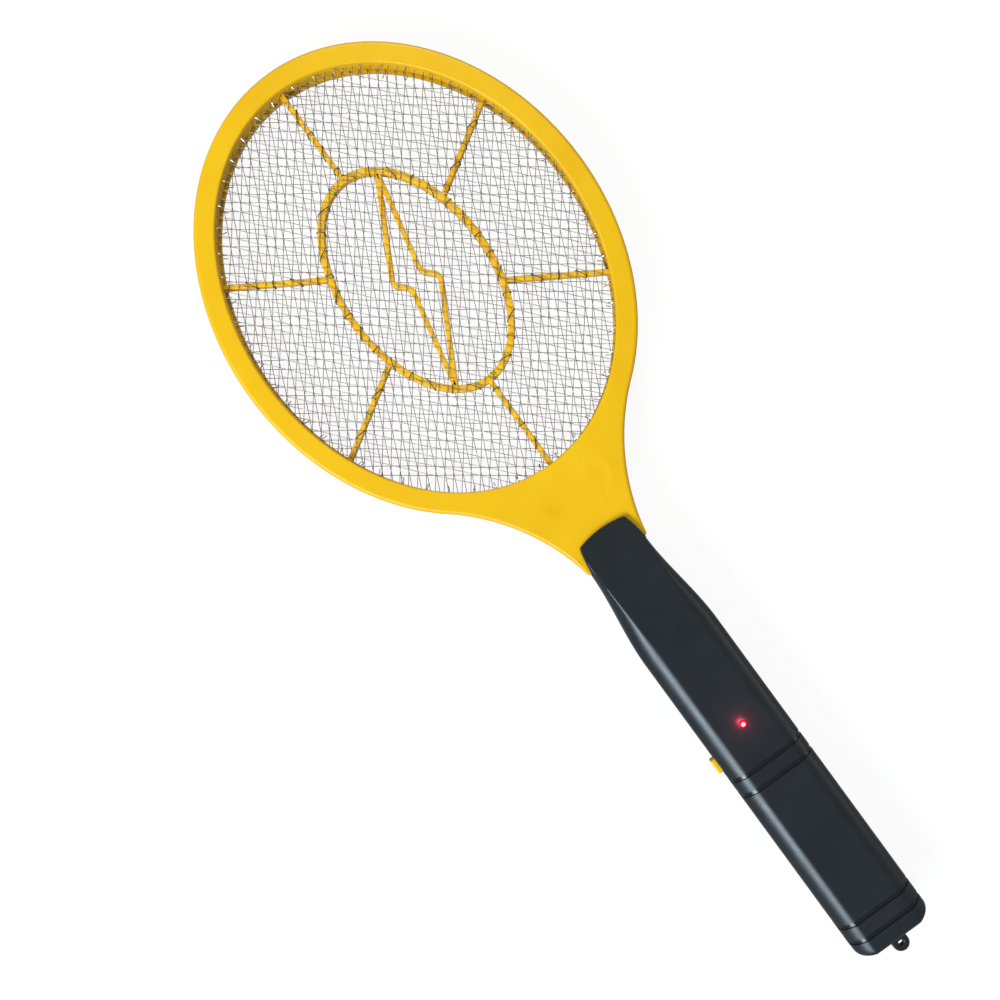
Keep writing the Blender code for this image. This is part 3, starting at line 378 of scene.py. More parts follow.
def between(tree, amount, first, second, low=0.3, high=0.7):
    """A colour ramp between two colours or two greys, where amount runs from low to high."""
    ramp = add(tree, "MapRange", {}, {"Value": amount, "From Min": low, "From Max": high})
    mix = add(tree, "Mix", {"data_type": "RGBA"}, {0: ramp.outputs["Result"], 6: first, 7: second})
    return mix.outputs[2]


def level(tree, amount, low, high):
    """amount, from 0 to 1, as a number from low to high."""
    return add(tree, "MapRange", {}, {"Value": amount, "To Min": low, "To Max": high}).outputs["Result"]


def relief(tree, height, depth):
    """A bump whose full height is depth millimetres."""
    return add(tree, "Bump", {}, {"Height": height, "Distance": depth * MM}).outputs["Normal"]


def moulded(name, light, dark, rough, grit, depth, patch=30.0, ior=1.53, sheen=0.06):
    """Injection-moulded plastic: slow shade changes of the pigment, a faint flow pattern in the gloss and
    the tool's grit as relief."""
    made, tree, shader, place = begin(name)
    colour = between(tree, speckle(tree, place, patch), srgb(dark), srgb(light))
    tree.links.new(colour, shader.inputs["Base Color"])
    gloss = level(tree, speckle(tree, place, patch / 4), rough - sheen, rough + sheen)
    tree.links.new(gloss, shader.inputs["Roughness"])
    grain = relief(tree, speckle(tree, place, grit, 1.0), depth)
    tree.links.new(grain, shader.inputs["Normal"])
    shader.inputs["IOR"].default_value = ior
    return made


def grooved(made):
    """Adds the handle's grooves: within 1 mm of each groove's middle along Y the surface is glossier than the
    grit round it, and its colour is darker, a painted shade in the grooves."""
    tree = made.node_tree
    shader = tree.nodes["Principled BSDF"]
    place = add(tree, "TexCoord", {}, {}).outputs["Object"]
    along = add(tree, "SeparateXYZ", {}, {"Vector": place}).outputs["Y"]
    nearest = 1.0
    for middle in GROOVES:
        away = add(tree, "Math", {"operation": "SUBTRACT"}, {0: along, 1: (middle + HEAD_Y) * MM})
        far = add(tree, "Math", {"operation": "ABSOLUTE"}, {0: away.outputs[0]})
        nearest = add(tree, "Math", {"operation": "MINIMUM"}, {0: far.outputs[0], 1: nearest}).outputs[0]
    inside = add(tree, "MapRange", {}, {"Value": nearest, "From Min": 1.05 * MM, "From Max": 0.85 * MM})
    # Painted shade: the groove bands get a darker base colour as well as a lower roughness.
    groove_shade_and_gloss = (("Base Color", "RGBA", (0.007, 0.008, 0.010, 1.0)), ("Roughness", "FLOAT", 0.2))
    for socket, kind, dark in groove_shade_and_gloss:
        before = shader.inputs[socket].links[0].from_socket
        first, second, result = (6, 7, 2) if kind == "RGBA" else (2, 3, 0)
        mix = add(tree, "Mix", {"data_type": kind}, {0: inside.outputs[0], first: before, second: dark})
        tree.links.new(mix.outputs[result], shader.inputs[socket])
    # Painted light: a cool blue tint on every reflection of this charcoal plastic stands in for the cool key
    # light's colour.
    shader.inputs["Specular Tint"].default_value = (0.82, 0.92, 1.0, 1.0)
    return made


def metal(name, light, dark, rough, grit, depth, stretch=(1.0, 1.0, 1.0)):
    """Bare or plated metal: cloudy tone, scratches drawn out along stretch, gloss that varies with them."""
    made, tree, shader, place = begin(name)
    colour = between(tree, speckle(tree, place, grit * 6), srgb(dark), srgb(light))
    tree.links.new(colour, shader.inputs["Base Color"])
    shader.inputs["Metallic"].default_value = 1.0
    scratch = speckle(tree, place, grit, 3.0, stretch)
    tree.links.new(level(tree, scratch, rough * 0.7, rough * 1.3), shader.inputs["Roughness"])
    tree.links.new(relief(tree, scratch, depth), shader.inputs["Normal"])
    return made


def banded(name, base, bands, rough, axis=0):
    """Lacquered body with painted rings: bands are (place in millimetres along the axis, width, colour)."""
    made, tree, shader, place = begin(name)
    split = add(tree, "SeparateXYZ", {}, {"Vector": place})
    colour = srgb(base)
    for middle, width, paint in bands:
        away = add(tree, "Math", {"operation": "SUBTRACT"}, {0: split.outputs[axis], 1: middle * MM})
        far = add(tree, "Math", {"operation": "ABSOLUTE"}, {0: away.outputs[0]})
        inside = add(tree, "Math", {"operation": "LESS_THAN"}, {0: far.outputs[0], 1: width / 2 * MM})
        mix = add(tree, "Mix", {"data_type": "RGBA"}, {0: inside.outputs[0], 6: colour, 7: srgb(paint)})
        colour = mix.outputs[2]
    tree.links.new(colour, shader.inputs["Base Color"])
    tree.links.new(level(tree, speckle(tree, place, 1.0), rough - 0.05, rough + 0.08),
                   shader.inputs["Roughness"])
    return made


# Glossy ABS of the hoop: clean, saturated, a soft orange-peel from a polished tool.
YELLOW = moulded("yellow_moulded_abs", "#F3C20A", "#EDB804", 0.36, 1.4, 0.004, ior=1.42)
# Ribs between the meshes: the same plastic, matter, because their tool isn't polished.
RIB_YELLOW = moulded("yellow_rib_abs", "#FFCC14", "#F4B406", 0.5, 0.9, 0.006, 14.0, ior=1.42)
# Button: the same pigment in a brighter, glossier cap.
BUTTON_YELLOW = moulded("yellow_button_abs", "#FFD400", "#F7C400", 0.25, 0.8, 0.003, 6.0)
# Handle: charcoal ABS from a spark-eroded tool. Its grit of 0.2 mm is drawn at 0.6 mm, so that it shows.
BLACK = grooved(moulded("charcoal_textured_abs", "#1F2429", "#191D21", 0.33, 0.6, 0.012))
# Inside walls of the handle: the same plastic off a plain tool.
INNER_BLACK = moulded("charcoal_plain_abs", "#22262B", "#1B1E22", 0.5, 1.2, 0.006)
# Mesh: drawn steel wire, dull and a little brown, which reads as mid grey.
MESH_STEEL = metal("drawn_steel_mesh_wire", "#BDB8B2", "#928D87", 0.45, 0.5, 0.004)
# Lacing: annealed wire, darker than the mesh, so it reads as thin lines across the ribs.
LACING_STEEL = metal("dull_lacing_wire", "#5E5C58", "#413F3C", 0.45, 0.4, 0.004)
# Hooks at the rim: bright-tinned wire, so each one glints as a short pale tick.
HOOK_STEEL = metal("bright_tinned_hook_wire", "#D8D8D6", "#B0B0AE", 0.3, 0.4, 0.003)
# Contacts, springs and lamp legs: warm, bright plating with fine draw lines.
NICKEL = metal("nickel_plate", "#C9C4B8", "#B0AA9C", 0.25, 0.3, 0.003, (1.0, 0.2, 1.0))
# Screws: cooler and duller than the nickel.
SCREW_STEEL = metal("zinc_plated_screw", "#B8B6B0", "#8C8A84", 0.32, 0.3, 0.004)
# Mesh terminals: yellow metal, rolled lengthwise.
BRASS = metal("brass_tab", "#D9B560", "#B8923F", 0.3, 0.4, 0.004, (0.2, 1.0, 1.0))
# Transformer: orange-brown wire, whose turns show as fine rings.
COPPER = metal("enamelled_copper_winding", "#B5602B", "#7E3A16", 0.3, 0.35, 0.02, (1.0, 3.0, 0.1))
# Leads: soft, satin PVC, red for plus and black for minus.
RED_LEAD = moulded("red_pvc_insulation", "#B3161B", "#8E0F14", 0.38, 0.5, 0.004, 3.0)
BLACK_LEAD = moulded("black_pvc_insulation", "#18181A", "#101012", 0.42, 0.5, 0.004, 3.0)
# Circuit board: tan, a little fibrous. Core: dark grey ceramic, dull and grainy.
LAMINATE = moulded("paper_phenolic_board", "#A5783F", "#8C602C", 0.45, 0.35, 0.01, 5.0)
FERRITE = moulded("sintered_ferrite", "#3A3A3C", "#29292B", 0.6, 0.3, 0.02, 4.0)
# Bobbin, switch and transistor: near-black resin. Plunger: cream nylon.
RESIN = moulded("black_epoxy", "#1B1B1C", "#121213", 0.45, 0.4, 0.006, 4.0)
CREAM = moulded("cream_nylon", "#D8CBA8", "#C4B48C", 0.42, 0.5, 0.006, 4.0)
# Capacitors: thick dipped coats, wet-looking, brown for the large one and blue for the small ones.
BROWN = moulded("brown_dipped_resin", "#6A2113", "#4E150B", 0.22, 1.5, 0.02, 3.0)
BLUE = moulded("blue_dipped_resin", "#1E4E9A", "#153A78", 0.25, 1.5, 0.02, 3.0)
# Diodes: black epoxy with the pale ring of the cathode end.
DIODE = banded("black_diode_body", "#191919", [(-3.5, 0.7, "#D0D0CC")], 0.35)
# Resistors: cream lacquer with four painted rings.
RESISTOR = banded("cream_lacquered_resistor", "#CDB58A",
                  [(-6.2, 0.35, "#5A2E12"), (-5.4, 0.35, "#141414"), (-4.6, 0.35, "#B8220E"),
                   (-3.7, 0.35, "#C8A02A")], 0.35)
# Dry cells: a printed foil jacket, dark with a copper-coloured shoulder at the raised end.
CELL_LEFT = banded("dry_cell_jacket_left", "#23262B",
                   [(HEAD_Y + BAY_END + 7.8, SHOULDER, "#B9742F")], 0.3, 1)
CELL_RIGHT = banded("dry_cell_jacket_right", "#23262B",
                    [(HEAD_Y + BAY_TOP - 7.8, SHOULDER, "#B9742F")], 0.3, 1)


def lit_lens():
    """Clear red epoxy, lit from inside: its middle is pink, and its rim is deep red."""
    made, tree, shader, place = begin("red_epoxy_lens")
    centre = put((0.0, LED_Y, 0.0))
    moved = add(tree, "Mapping", {}, {"Vector": place, "Location": (-centre[0], -centre[1], 0.0),
                                      "Scale": (1.0, 1.0, 0.0)})
    away = add(tree, "VectorMath", {"operation": "LENGTH"}, {0: moved.outputs["Vector"]})
    glow = between(tree, away.outputs["Value"], srgb("#FFE4EA"), srgb("#F00A2C"),
                   0.3 * MM, 1.1 * MM)
    tree.links.new(glow, shader.inputs["Emission Color"])
    shader.inputs["Emission Strength"].default_value = 1.5
    tree.links.new(between(tree, speckle(tree, place, 1.0), srgb("#C3001E"), srgb("#A80018")),
                   shader.inputs["Base Color"])
    shader.inputs["Roughness"].default_value = 0.12
    return made


LENS = lit_lens()

# ---------------------------------------------------------------- hoop


def outline_of_head():
    """Anticlockwise outline of hoop, throat and tang, with the matching angle on the opening's ellipse.
    The hoop is an ellipse. At THROAT_START a circle of THROAT_RADIUS touches it from outside and runs down
    to the ears, whose ends and the tang below them are straight lines with eased corners."""
    sweep = np.radians(np.linspace(90.0, THROAT_START, 190))
    hoop = np.stack([HOOP_A * np.cos(sweep), HOOP_B * np.sin(sweep)], axis=1)
    start = math.radians(THROAT_START)
    away = unit(np.array([math.cos(start) / HOOP_A, math.sin(start) / HOOP_B]))
    centre = hoop[-1] + away * THROAT_RADIUS
    first = math.atan2(*(hoop[-1] - centre)[::-1]) % (2 * math.pi)
    last = math.pi - math.asin((EAR_END + EAR_ROUND - centre[1]) / THROAT_RADIUS)
    turn = np.linspace(first, last, 80)[1:]
    throat = centre + THROAT_RADIUS * np.stack([np.cos(turn), np.sin(turn)], axis=1)
    throat = throat[throat[:, 1] > EAR_END + EAR_CORNER]
    ear = np.array([centre[0] + THROAT_RADIUS * math.cos(last), EAR_END])
    lower = [throat[-1], ear, (TANG_HALF, EAR_END + TANG_ROOT), (TANG_HALF, TANG_END), (-TANG_HALF, TANG_END)]
    eased = rounded(lower, [0.01, 1.6, 0.5, 2.0, 2.0], 7).reshape(5, 7, 2)[1:4].reshape(-1, 2)
    middle = np.array([[0.0, TANG_END]])
    right = np.concatenate([hoop, throat[:-1], eased, middle])
    run = np.concatenate([[0], np.cumsum(np.linalg.norm(np.diff(right[189:], axis=0), axis=1))])
    angles = np.concatenate([sweep[:-1], start + (-math.pi / 2 - start) * run / run[-1]])
    left = right[1:-1] * (-1, 1)
    path = np.concatenate([right[:1], left, right[:0:-1]])
    turns = np.concatenate([angles[:1], math.pi - angles[1:-1], angles[:0:-1]])
    return path, turns


def hoop_half(name, sign, node, finish):
    """Half of the hoop: a channel section carried round the outline. Each profile point is
    (1-w) (outline moved in by d t) + w (opening's ellipse moved out by e), at height z. t tightens the
    outline's rounding from 1 to EAR_TIGHT just above the throat's end. The face has a shallow oval dip
    on the throat."""
    path, turns = outline_of_head()
    out = outward(path)
    inset, drop = quarter(RIM_ROUND, 8)
    profile = [(0, 0, 0, GAP / 2), (0, 0, 0, 2.4)]
    profile += [(d, 0, 0, HOOP_TOP - h) for d, h in zip(inset, drop)]
    profile += [(RIM_ROUND + 0.2, INNER_ROUND + 0.2, w, HOOP_TOP) for w in np.linspace(0, 1, 22)]
    inset, drop = quarter(INNER_ROUND, 5)
    profile += [(0, e, 1, HOOP_TOP - h) for e, h in zip(inset[::-1], drop[::-1])]
    profile += [(0, 0, 1, LEDGE_TOP), (0, 0, 1, LEDGE_LOW), (0, WALL, 1, LEDGE_LOW),
                (0, WALL, 1, HOOP_TOP - WALL), (WALL, 0, 0, HOOP_TOP - WALL), (WALL, 0, 0, GAP / 2)]
    d, e, w, z = np.array(profile, float).T
    tight = EAR_TIGHT + (1 - EAR_TIGHT) * ease((path[:, 1] - EAR_END - 1.0) / EAR_RUN)
    outer = path[:, None] - out[:, None] * (d[None, :] * tight[:, None])[..., None]
    inner = np.stack([(INNER_A + e) * np.cos(turns)[:, None], (INNER_B + e) * np.sin(turns)[:, None]], axis=2)
    flat = (1 - w)[None, :, None] * outer + w[None, :, None] * inner
    away = np.linalg.norm((flat - THUMB_SPOT) / THUMB_SIZE, axis=-1)
    dip = THUMB_DEPTH * ease((1.12 - away) / 0.24) * (z > HOOP_TOP - 0.01)
    points = raised(flat, sign * (z[None, :] - dip)).reshape(-1, 3)
    piece = solid(name, points, [quads(len(path), len(profile), closed=True)], finish)
    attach(piece, "handle")
    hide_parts(node)
    return piece


# ---------------------------------------------------------------- meshes and ribs


def woven_mesh(name, sign, angles, node):
    """Plain weave: wire i of one set runs straight along its angle at i pitches from the middle, cut where it
    meets the lap's ellipse, and rises and falls as cos(pi (i + m)), m counting the wires it crosses. Slow
    sines of the place make it sway and the weave drift, as a hand-stretched mesh does."""
    a, b = INNER_A + MESH_LAP, INNER_B + MESH_LAP
    turn = np.radians(angles)
    along = np.stack([np.cos(turn), np.sin(turn)], axis=1)
    across = np.stack([-np.sin(turn), np.cos(turn)], axis=1)
    shapes = []
    for k in (0, 1):
        number = np.arange(-MOST_WIRES, MOST_WIRES + 1)
        offset = number * MESH_PITCH
        u, n = along[k], across[k]
        square = (u[0] / a) ** 2 + (u[1] / b) ** 2
        single = 2 * offset * (n[0] * u[0] / a ** 2 + n[1] * u[1] / b ** 2)
        rest = offset ** 2 * ((n[0] / a) ** 2 + (n[1] / b) ** 2) - 1
        under = single ** 2 - 4 * square * rest
        keep = under > 0.15 * 4 * square
        number, offset, single, under = number[keep], offset[keep], single[keep], under[keep]
        share = np.linspace(-1, 1, 160)[None, :]
        t = (-single[:, None] + np.sqrt(under)[:, None] * share) / (2 * square)
        flat = offset[:, None, None] * n + t[..., None] * u
        crossing = flat @ across[1 - k] / MESH_PITCH
        lift = (1 - 2 * k) * WEAVE * np.cos(math.pi * (number[:, None] + crossing))
        sway = SWAY * np.sin(t / 11.0 + 1.9 * number[:, None] + k) * np.sin(t / 29.0 + 0.7 * number[:, None])
        drift = DRIFT * np.sin(flat[..., 0] / 23.0 + 2 * k + sign) * np.sin(flat[..., 1] / 31.0 - k)
        flat = flat + ((sway + drift) * (1 - share ** 4))[..., None] * n
        shapes.append(tubes(raised(flat, sign * MESH_MID + lift), WIRE_RADIUS, 5))
    points, faces = joined(*shapes)
    piece = solid(name, points, faces, MESH_STEEL, tidy=False, sharp=80.0)
    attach(piece, "handle")
    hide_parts(node)
    return piece


def spoke_lines():
    """Flat start and end of the six spokes, from the ring's middle line to under the rim."""
    ring, rim = np.array([RING_A, RING_B]), np.array([INNER_A, INNER_B]) + 1.7
    a, b = math.radians(SPOKE_AT_RING), math.radians(SPOKE_AT_RIM)
    ways = [[(0, 1), (0, -1)] + [(s * math.cos(angle), t * math.sin(angle)) for s in (1, -1) for t in (1, -1)]
            for angle in (a, b)]
    return np.array(ways[0]) * ring, np.array(ways[1]) * rim


def rib_frame():
    """Rim band, oval ring, six spokes and the zigzag of a lightning bolt, all bars with eased edges."""
    bar = rounded_bar(RIB_WIDTH / 2, RIB_DEPTH / 2, RIB_ROUND)
    broad = rounded_bar(RING_RIB / 2, RIB_DEPTH / 2, RIB_ROUND)
    band = rounded_bar((BAND_OUT - BAND_IN) / 2, RIB_DEPTH / 2, BAND_ROUND)
    middle = (BAND_OUT + BAND_IN) / 2
    half = np.array(BOLT_CORNERS) * (RING_A, RING_B)
    bolt = rounded(np.concatenate([half, -half]), BOLT_ROUND, 7)
    shapes = [loop_bar(ellipse(INNER_A + middle, INNER_B + middle, 240), band),
              loop_bar(ellipse(RING_A, RING_B, 160), broad),
              loop_bar(bolt, bar * (1.0, 0.97))]
    for start, end in zip(*spoke_lines()):
        shapes.append(straight_bar(start, end, bar * (1.0, 0.985)))
    points, faces = joined(*shapes)
    piece = solid("rib_frame", points, faces, RIB_YELLOW)
    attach(piece, "handle")
    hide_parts("mesh_spacer")
    return piece


def lacing():
    """Wire stitches that tie both meshes to the ribs. Each is a closed loop round the rib,
    |u/w|^4 + |z/h|^4 = 1, and every other one leans so that it crosses the rib's face at a slant."""
    spots, ways = [], []
    ring = ellipse(RING_A, RING_B, 400)
    length = np.linalg.norm(ring - np.roll(ring, 1, axis=0), axis=1).sum()
    ring = spaced(ring, round(length / LACING_STEP))
    normal = outward(ring)
    spots.append(ring)
    ways.append(np.stack([-normal[:, 1], normal[:, 0]], axis=1))
    widths = [np.full(len(ring), RING_RIB)]
    for start, end in zip(*spoke_lines()):
        length = np.linalg.norm(end - start)
        at = np.arange(LACING_START, length - LACING_START + 0.5, LACING_STEP)
        spots.append(start + unit(end - start) * at[:, None])
        ways.append(np.broadcast_to(unit(end - start), (len(at), 2)))
        widths.append(np.full(len(at), RIB_WIDTH))
    slant = np.concatenate([np.arange(len(some)) % 2 for some in spots]) * LACING_SLANT
    spot, way = np.concatenate(spots), np.concatenate(ways)
    across = np.stack([way[:, 1], -way[:, 0]], axis=1)
    turn = np.arange(28) * 2 * math.pi / 28
    half_w, half_h = np.concatenate(widths) / 2 + LACING_OFF, LACING_HALF
    u = np.sign(np.cos(turn)) * np.abs(np.cos(turn)) ** 0.5
    z = half_h * np.sign(np.sin(turn)) * np.abs(np.sin(turn)) ** 0.5
    flat = spot[:, None] + across[:, None] * (half_w[:, None] * u[None, :])[..., None]
    flat = flat + way[:, None] * (slant[:, None] * u[None, :])[..., None]
    up = np.concatenate([way, np.zeros((len(way), 1))], axis=1)[:, None]
    points, faces = tubes(raised(flat, z), LACING_RADIUS, 6, up, closed=True)
    piece = solid("lacing_wire", points, faces, LACING_STEEL)
    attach(piece, "handle")
    return piece


def rim_hooks(name, sign):
    """Short wire hooks that hold a mesh's edge to the hoop's inner wall: each rises in an arch from the mesh
    and turns into the wall, leaning to one side or the other."""
    spot = spaced(ellipse(INNER_A, INNER_B, 720), HOOKS)
    out = outward(spot)
    along = np.stack([-out[:, 1], out[:, 0]], axis=1)
    lean = HOOK_LEAN * np.sign(np.sin(2.4 * np.arange(HOOKS)))
    t = np.linspace(0, 1, 12)
    reach = HOOK_START + HOOK_REACH * t
    rise = MESH_MID + 0.3 + HOOK_RISE * np.sin(math.pi * (0.1 + 0.62 * t))
    flat = spot[:, None] + out[:, None] * reach[None, :, None]
    flat = flat + along[:, None] * (lean[:, None] * (1 - t)[None, :])[..., None]
    side = np.concatenate([along, np.zeros((HOOKS, 1))], axis=1)[:, None]
    points, faces = tubes(raised(flat, sign * rise), HOOK_RADIUS, 6, side)
    piece = solid(name, points, faces, HOOK_STEEL)
    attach(piece, "handle")
    return piece


# ---------------------------------------------------------------- handle


def half_width(y):
    """Half the handle's width at y: the tongue widens towards the neck, and the neck into the grip."""
    share = np.clip((TONGUE_TIP - y) / (TONGUE_TIP - EAR_END), 0, 1)
    tongue = TONGUE_WIDTH + (NECK_WIDTH - TONGUE_WIDTH) * share ** 0.7
    grip = NECK_WIDTH + (HANDLE_WIDTH - NECK_WIDTH) * ease((EAR_END - y) / NECK_LENGTH)
    return np.where(y > EAR_END, tongue, grip) / 2


def half_panel(y):
    """Half the flat panel's width at y, always less than the handle's by a little flank."""
    share = ease((EAR_END - y) / NECK_LENGTH)
    return np.minimum((NECK_PANEL + (PANEL_WIDTH - NECK_PANEL) * share) / 2, half_width(y) - FLANK_LEAST)


def half_height(y):
    """The panel's height over the seam at y: it rises from the tongue to the grip."""
    start = HOOP_TOP + GAP + TONGUE_PLATE
    return start + (HALF_DEPTH - start) * ease((TONGUE_TIP - y) / (NECK_LENGTH * 1.3))


def fillet(radius, distance):
    """What a round of this radius takes off at a distance from the end."""
    inside = np.clip(radius - distance, 0, radius)
    return radius - np.sqrt(np.maximum(radius ** 2 - inside ** 2, 0))


def groove_depth(y):
    """Two pairs of flat-bottomed grooves round the grip."""
    away = np.abs(y[:, None] - np.array(GROOVES)[None, :])
    return GROOVE_DEPTH * np.clip((GROOVE_HALF - away) / GROOVE_WALL, 0, 1).max(axis=1)


def stations():
    """Places along the handle, close together at the tongue's tip, the neck, the grooves and the end."""
    side = EAR_END - GAP
    tip = TONGUE_TIP - np.array([0, 0.06, 0.2, 0.4, 0.6, 0.9, 1.6, 2.6, 4, 5.5, 7, 9, 11])
    body = np.arange(side - 1.0, HANDLE_END + END_CORNER + 1, -1.6)
    groove = np.add.outer(GROOVES, [-1.15, -1.0, -0.78, -0.6, 0, 0.6, 0.78, 1.0, 1.15]).ravel()
    end = HANDLE_END + END_CORNER * (1 - np.sin(np.linspace(0, math.pi / 2, 14)))
    near = (np.abs(body[:, None] - np.array(GROOVES)) > 1.6).all(axis=1)
    rows = np.concatenate([tip, [side + 0.02, side], body[near], groove, end])
    return -np.unique(-np.round(rows, 4))


def skin(y, inset, end, groove, is_open):
    """Half section of the handle at every station, as a grid: an upright side, a flank that follows a part of
    an ellipse, and a flat panel that meets it at a crease."""
    away = y - end
    width = half_width(y) - inset - groove - fillet(END_CORNER - inset, away)
    height = half_height(y) - inset - groove - fillet(max(END_EDGE - inset, 0.2), away)
    height = height - fillet(TIP_EDGE, TONGUE_TIP - y) * (inset == 0)
    panel = np.minimum(half_panel(y) - inset * 0.3, width - FLANK_LEAST)
    floor = np.where(is_open, GAP / 2, HOOP_TOP + GAP)
    side = np.maximum(floor, height * SIDE_HEIGHT)
    turn = np.linspace(math.pi / 2, LEAN + 0.035, 12)
    out = (np.sin(turn) - math.sin(LEAN)) / (1 - math.sin(LEAN))
    up = np.cos(turn) / math.cos(LEAN)
    x = [width[:, None], width[:, None], panel[:, None] + (width - panel)[:, None] * out]
    z = [floor[:, None], (floor + side)[:, None] / 2, side[:, None] + (height - side)[:, None] * up]
    across = np.array([0.975, 0.93, 0.8, 0.64, 0.48, 0.32, 0.16])
    x.append(panel[:, None] * across)
    z.append(np.repeat(height[:, None], len(across), axis=1))
    x, z = np.concatenate(x, axis=1), np.concatenate(z, axis=1)
    x = np.concatenate([x, np.zeros((len(y), 1)), -x[:, ::-1]], axis=1)
    z = np.concatenate([z, height[:, None], z[:, ::-1]], axis=1)
    sag = np.interp(-y, [-TONGUE_TIP, 3 - TONGUE_TIP, 8 - TONGUE_TIP, 14 - TONGUE_TIP], [1, 0.6, 0.2, 0])
    bend = TONGUE_ARC * sag[:, None] * (x / half_width(y)[:, None]) ** 2
    return np.stack([x, y[:, None] - bend, z], axis=2)


def shell(name, sign, finish):
    """Half of the handle's wall: an outer and an inner skin of the same stations, joined round their edge."""
    y = stations()
    is_open = y <= EAR_END - GAP
    outer = skin(y, 0.0, HANDLE_END, groove_depth(y), is_open)
    inner_end = HANDLE_END + HANDLE_WALL
    near = y - HANDLE_END < END_CORNER
    deep = np.where(near, inner_end + (y - HANDLE_END) * (END_CORNER - HANDLE_WALL) / END_CORNER, y)
    inner = skin(deep, HANDLE_WALL, inner_end, 0 * y, is_open)
    inner[~is_open, :, 2] = HOOP_TOP + GAP
    points = np.concatenate([outer.reshape(-1, 3), inner.reshape(-1, 3)])
    points[:, 2] *= sign
    rows, columns = outer.shape[:2]
    lift, last = rows * columns, (rows - 1) * columns
    face = quads(rows, columns, around=False)
    r = np.arange(rows - 1) * columns
    c = np.arange(columns - 1)
    edge = [np.stack([r + i, r + i + columns, r + i + columns + lift, r + i + lift], axis=1)
            for i in (0, columns - 1)]
    front = np.stack([c, c + 1, c + 1 + lift, c + lift], axis=1)
    cap = last + np.arange(columns)[None, :]
    foot = np.array([[last, last + columns - 1, last + columns - 1 + lift, last + lift]])
    return solid(name, points, [face, face + lift, *edge, front, cap, cap + lift, foot], finish)


def box_tool(low, high, ease_by=0.0):
    """A plain or corner-eased block to carve with."""
    corners = [(low[0], low[1]), (high[0], low[1]), (high[0], high[1]), (low[0], high[1])]
    outline = rounded(corners, ease_by, 8) if ease_by else corners
    return solid("tool", *prism(outline, low[2], high[2]), BLACK)


def round_tool(radius, start, end):
    """A drill of this radius from one point to another."""
    start, end = np.array(start, float), np.array(end, float)
    length = np.linalg.norm(end - start)
    return solid("tool", *turned([(0, 0), (radius, 0), (radius, length), (0, length)], start, end - start),
                 BLACK)


def window_tool():
    """The button's way out of the handle's left side."""
    half = (BUTTON_LENGTH / 2 + GAP, BUTTON_HEIGHT / 2 + GAP)
    low = (-HANDLE_WIDTH, BUTTON_Y - half[0], -half[1])
    return box_tool(low, (BUTTON_INNER, BUTTON_Y + half[0], half[1]))


def cover_tool(extra):
    """What the battery cover takes up of the rear wall, larger all round by extra."""
    half = COVER_HALF + extra
    high = (half, COVER_START + extra, COVER_TOP + extra)
    return box_tool((-half, HANDLE_END - 12, -14), high, 2.5 + extra)


def grip():
    """Front and rear shells and the battery cover, all carved from the same two half walls."""
    front = shell("grip_front", 1, BLACK)
    carve(front, round_tool(LED_RADIUS + GAP, (0, LED_Y, 5), (0, LED_Y, 15)))
    carve(front, window_tool())
    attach(front, "handle")
    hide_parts("handle_front_shell")
    rear = shell("grip_rear", -1, BLACK)
    carve(rear, cover_tool(GAP))
    carve(rear, window_tool())
    for x, y in SCREW_SPOTS:
        carve(rear, round_tool(COUNTERBORE, (x, y, -14), (x, y, -3)))
    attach(rear, "handle")
    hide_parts("handle_rear_shell")
    cover = shell("sliding_cover", -1, BLACK)
    carve(cover, cover_tool(0.0), "INTERSECT")
    for number in range(FINGER_RIBS):
        y = COVER_START - FINGER_START - FINGER_STEP * number
        half = 7.0 - 0.9 * abs(number - 2.5)
        carve(cover, box_tool((-half, y - 0.55, -12), (half, y + 0.55, -HALF_DEPTH + FINGER_DEPTH), 0.5))
    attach(cover, "cover")
    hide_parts("battery_cover")


def inner_walls():
    """Cross walls at both ends of the battery bay, the handle's section a little inside its skin, and the
    round bosses that the screws run into."""
    shapes = []
    for top in (BAY_TOP + BULKHEAD, BAY_END):
        y = np.array([top, top - BULKHEAD])
        rows = skin(y, HANDLE_WALL - 0.3, HANDLE_END, 0 * y, np.array([True, True]))
        shapes.append((rows.reshape(-1, 3), stack(2, rows.shape[1])))
    for x, y in SCREW_SPOTS:
        top = float(half_height(np.array(y))) - HANDLE_WALL
        boss = [(0, 0), (1.4, 0), (SCREW_BOSS, 0), (SCREW_BOSS, top), (0, top)]
        shapes.append(turned(boss, (x, y, GAP), (0, 0, 1), 24))
    piece = solid("bay_walls", *joined(*shapes), INNER_BLACK)
    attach(piece, "handle")
    return piece


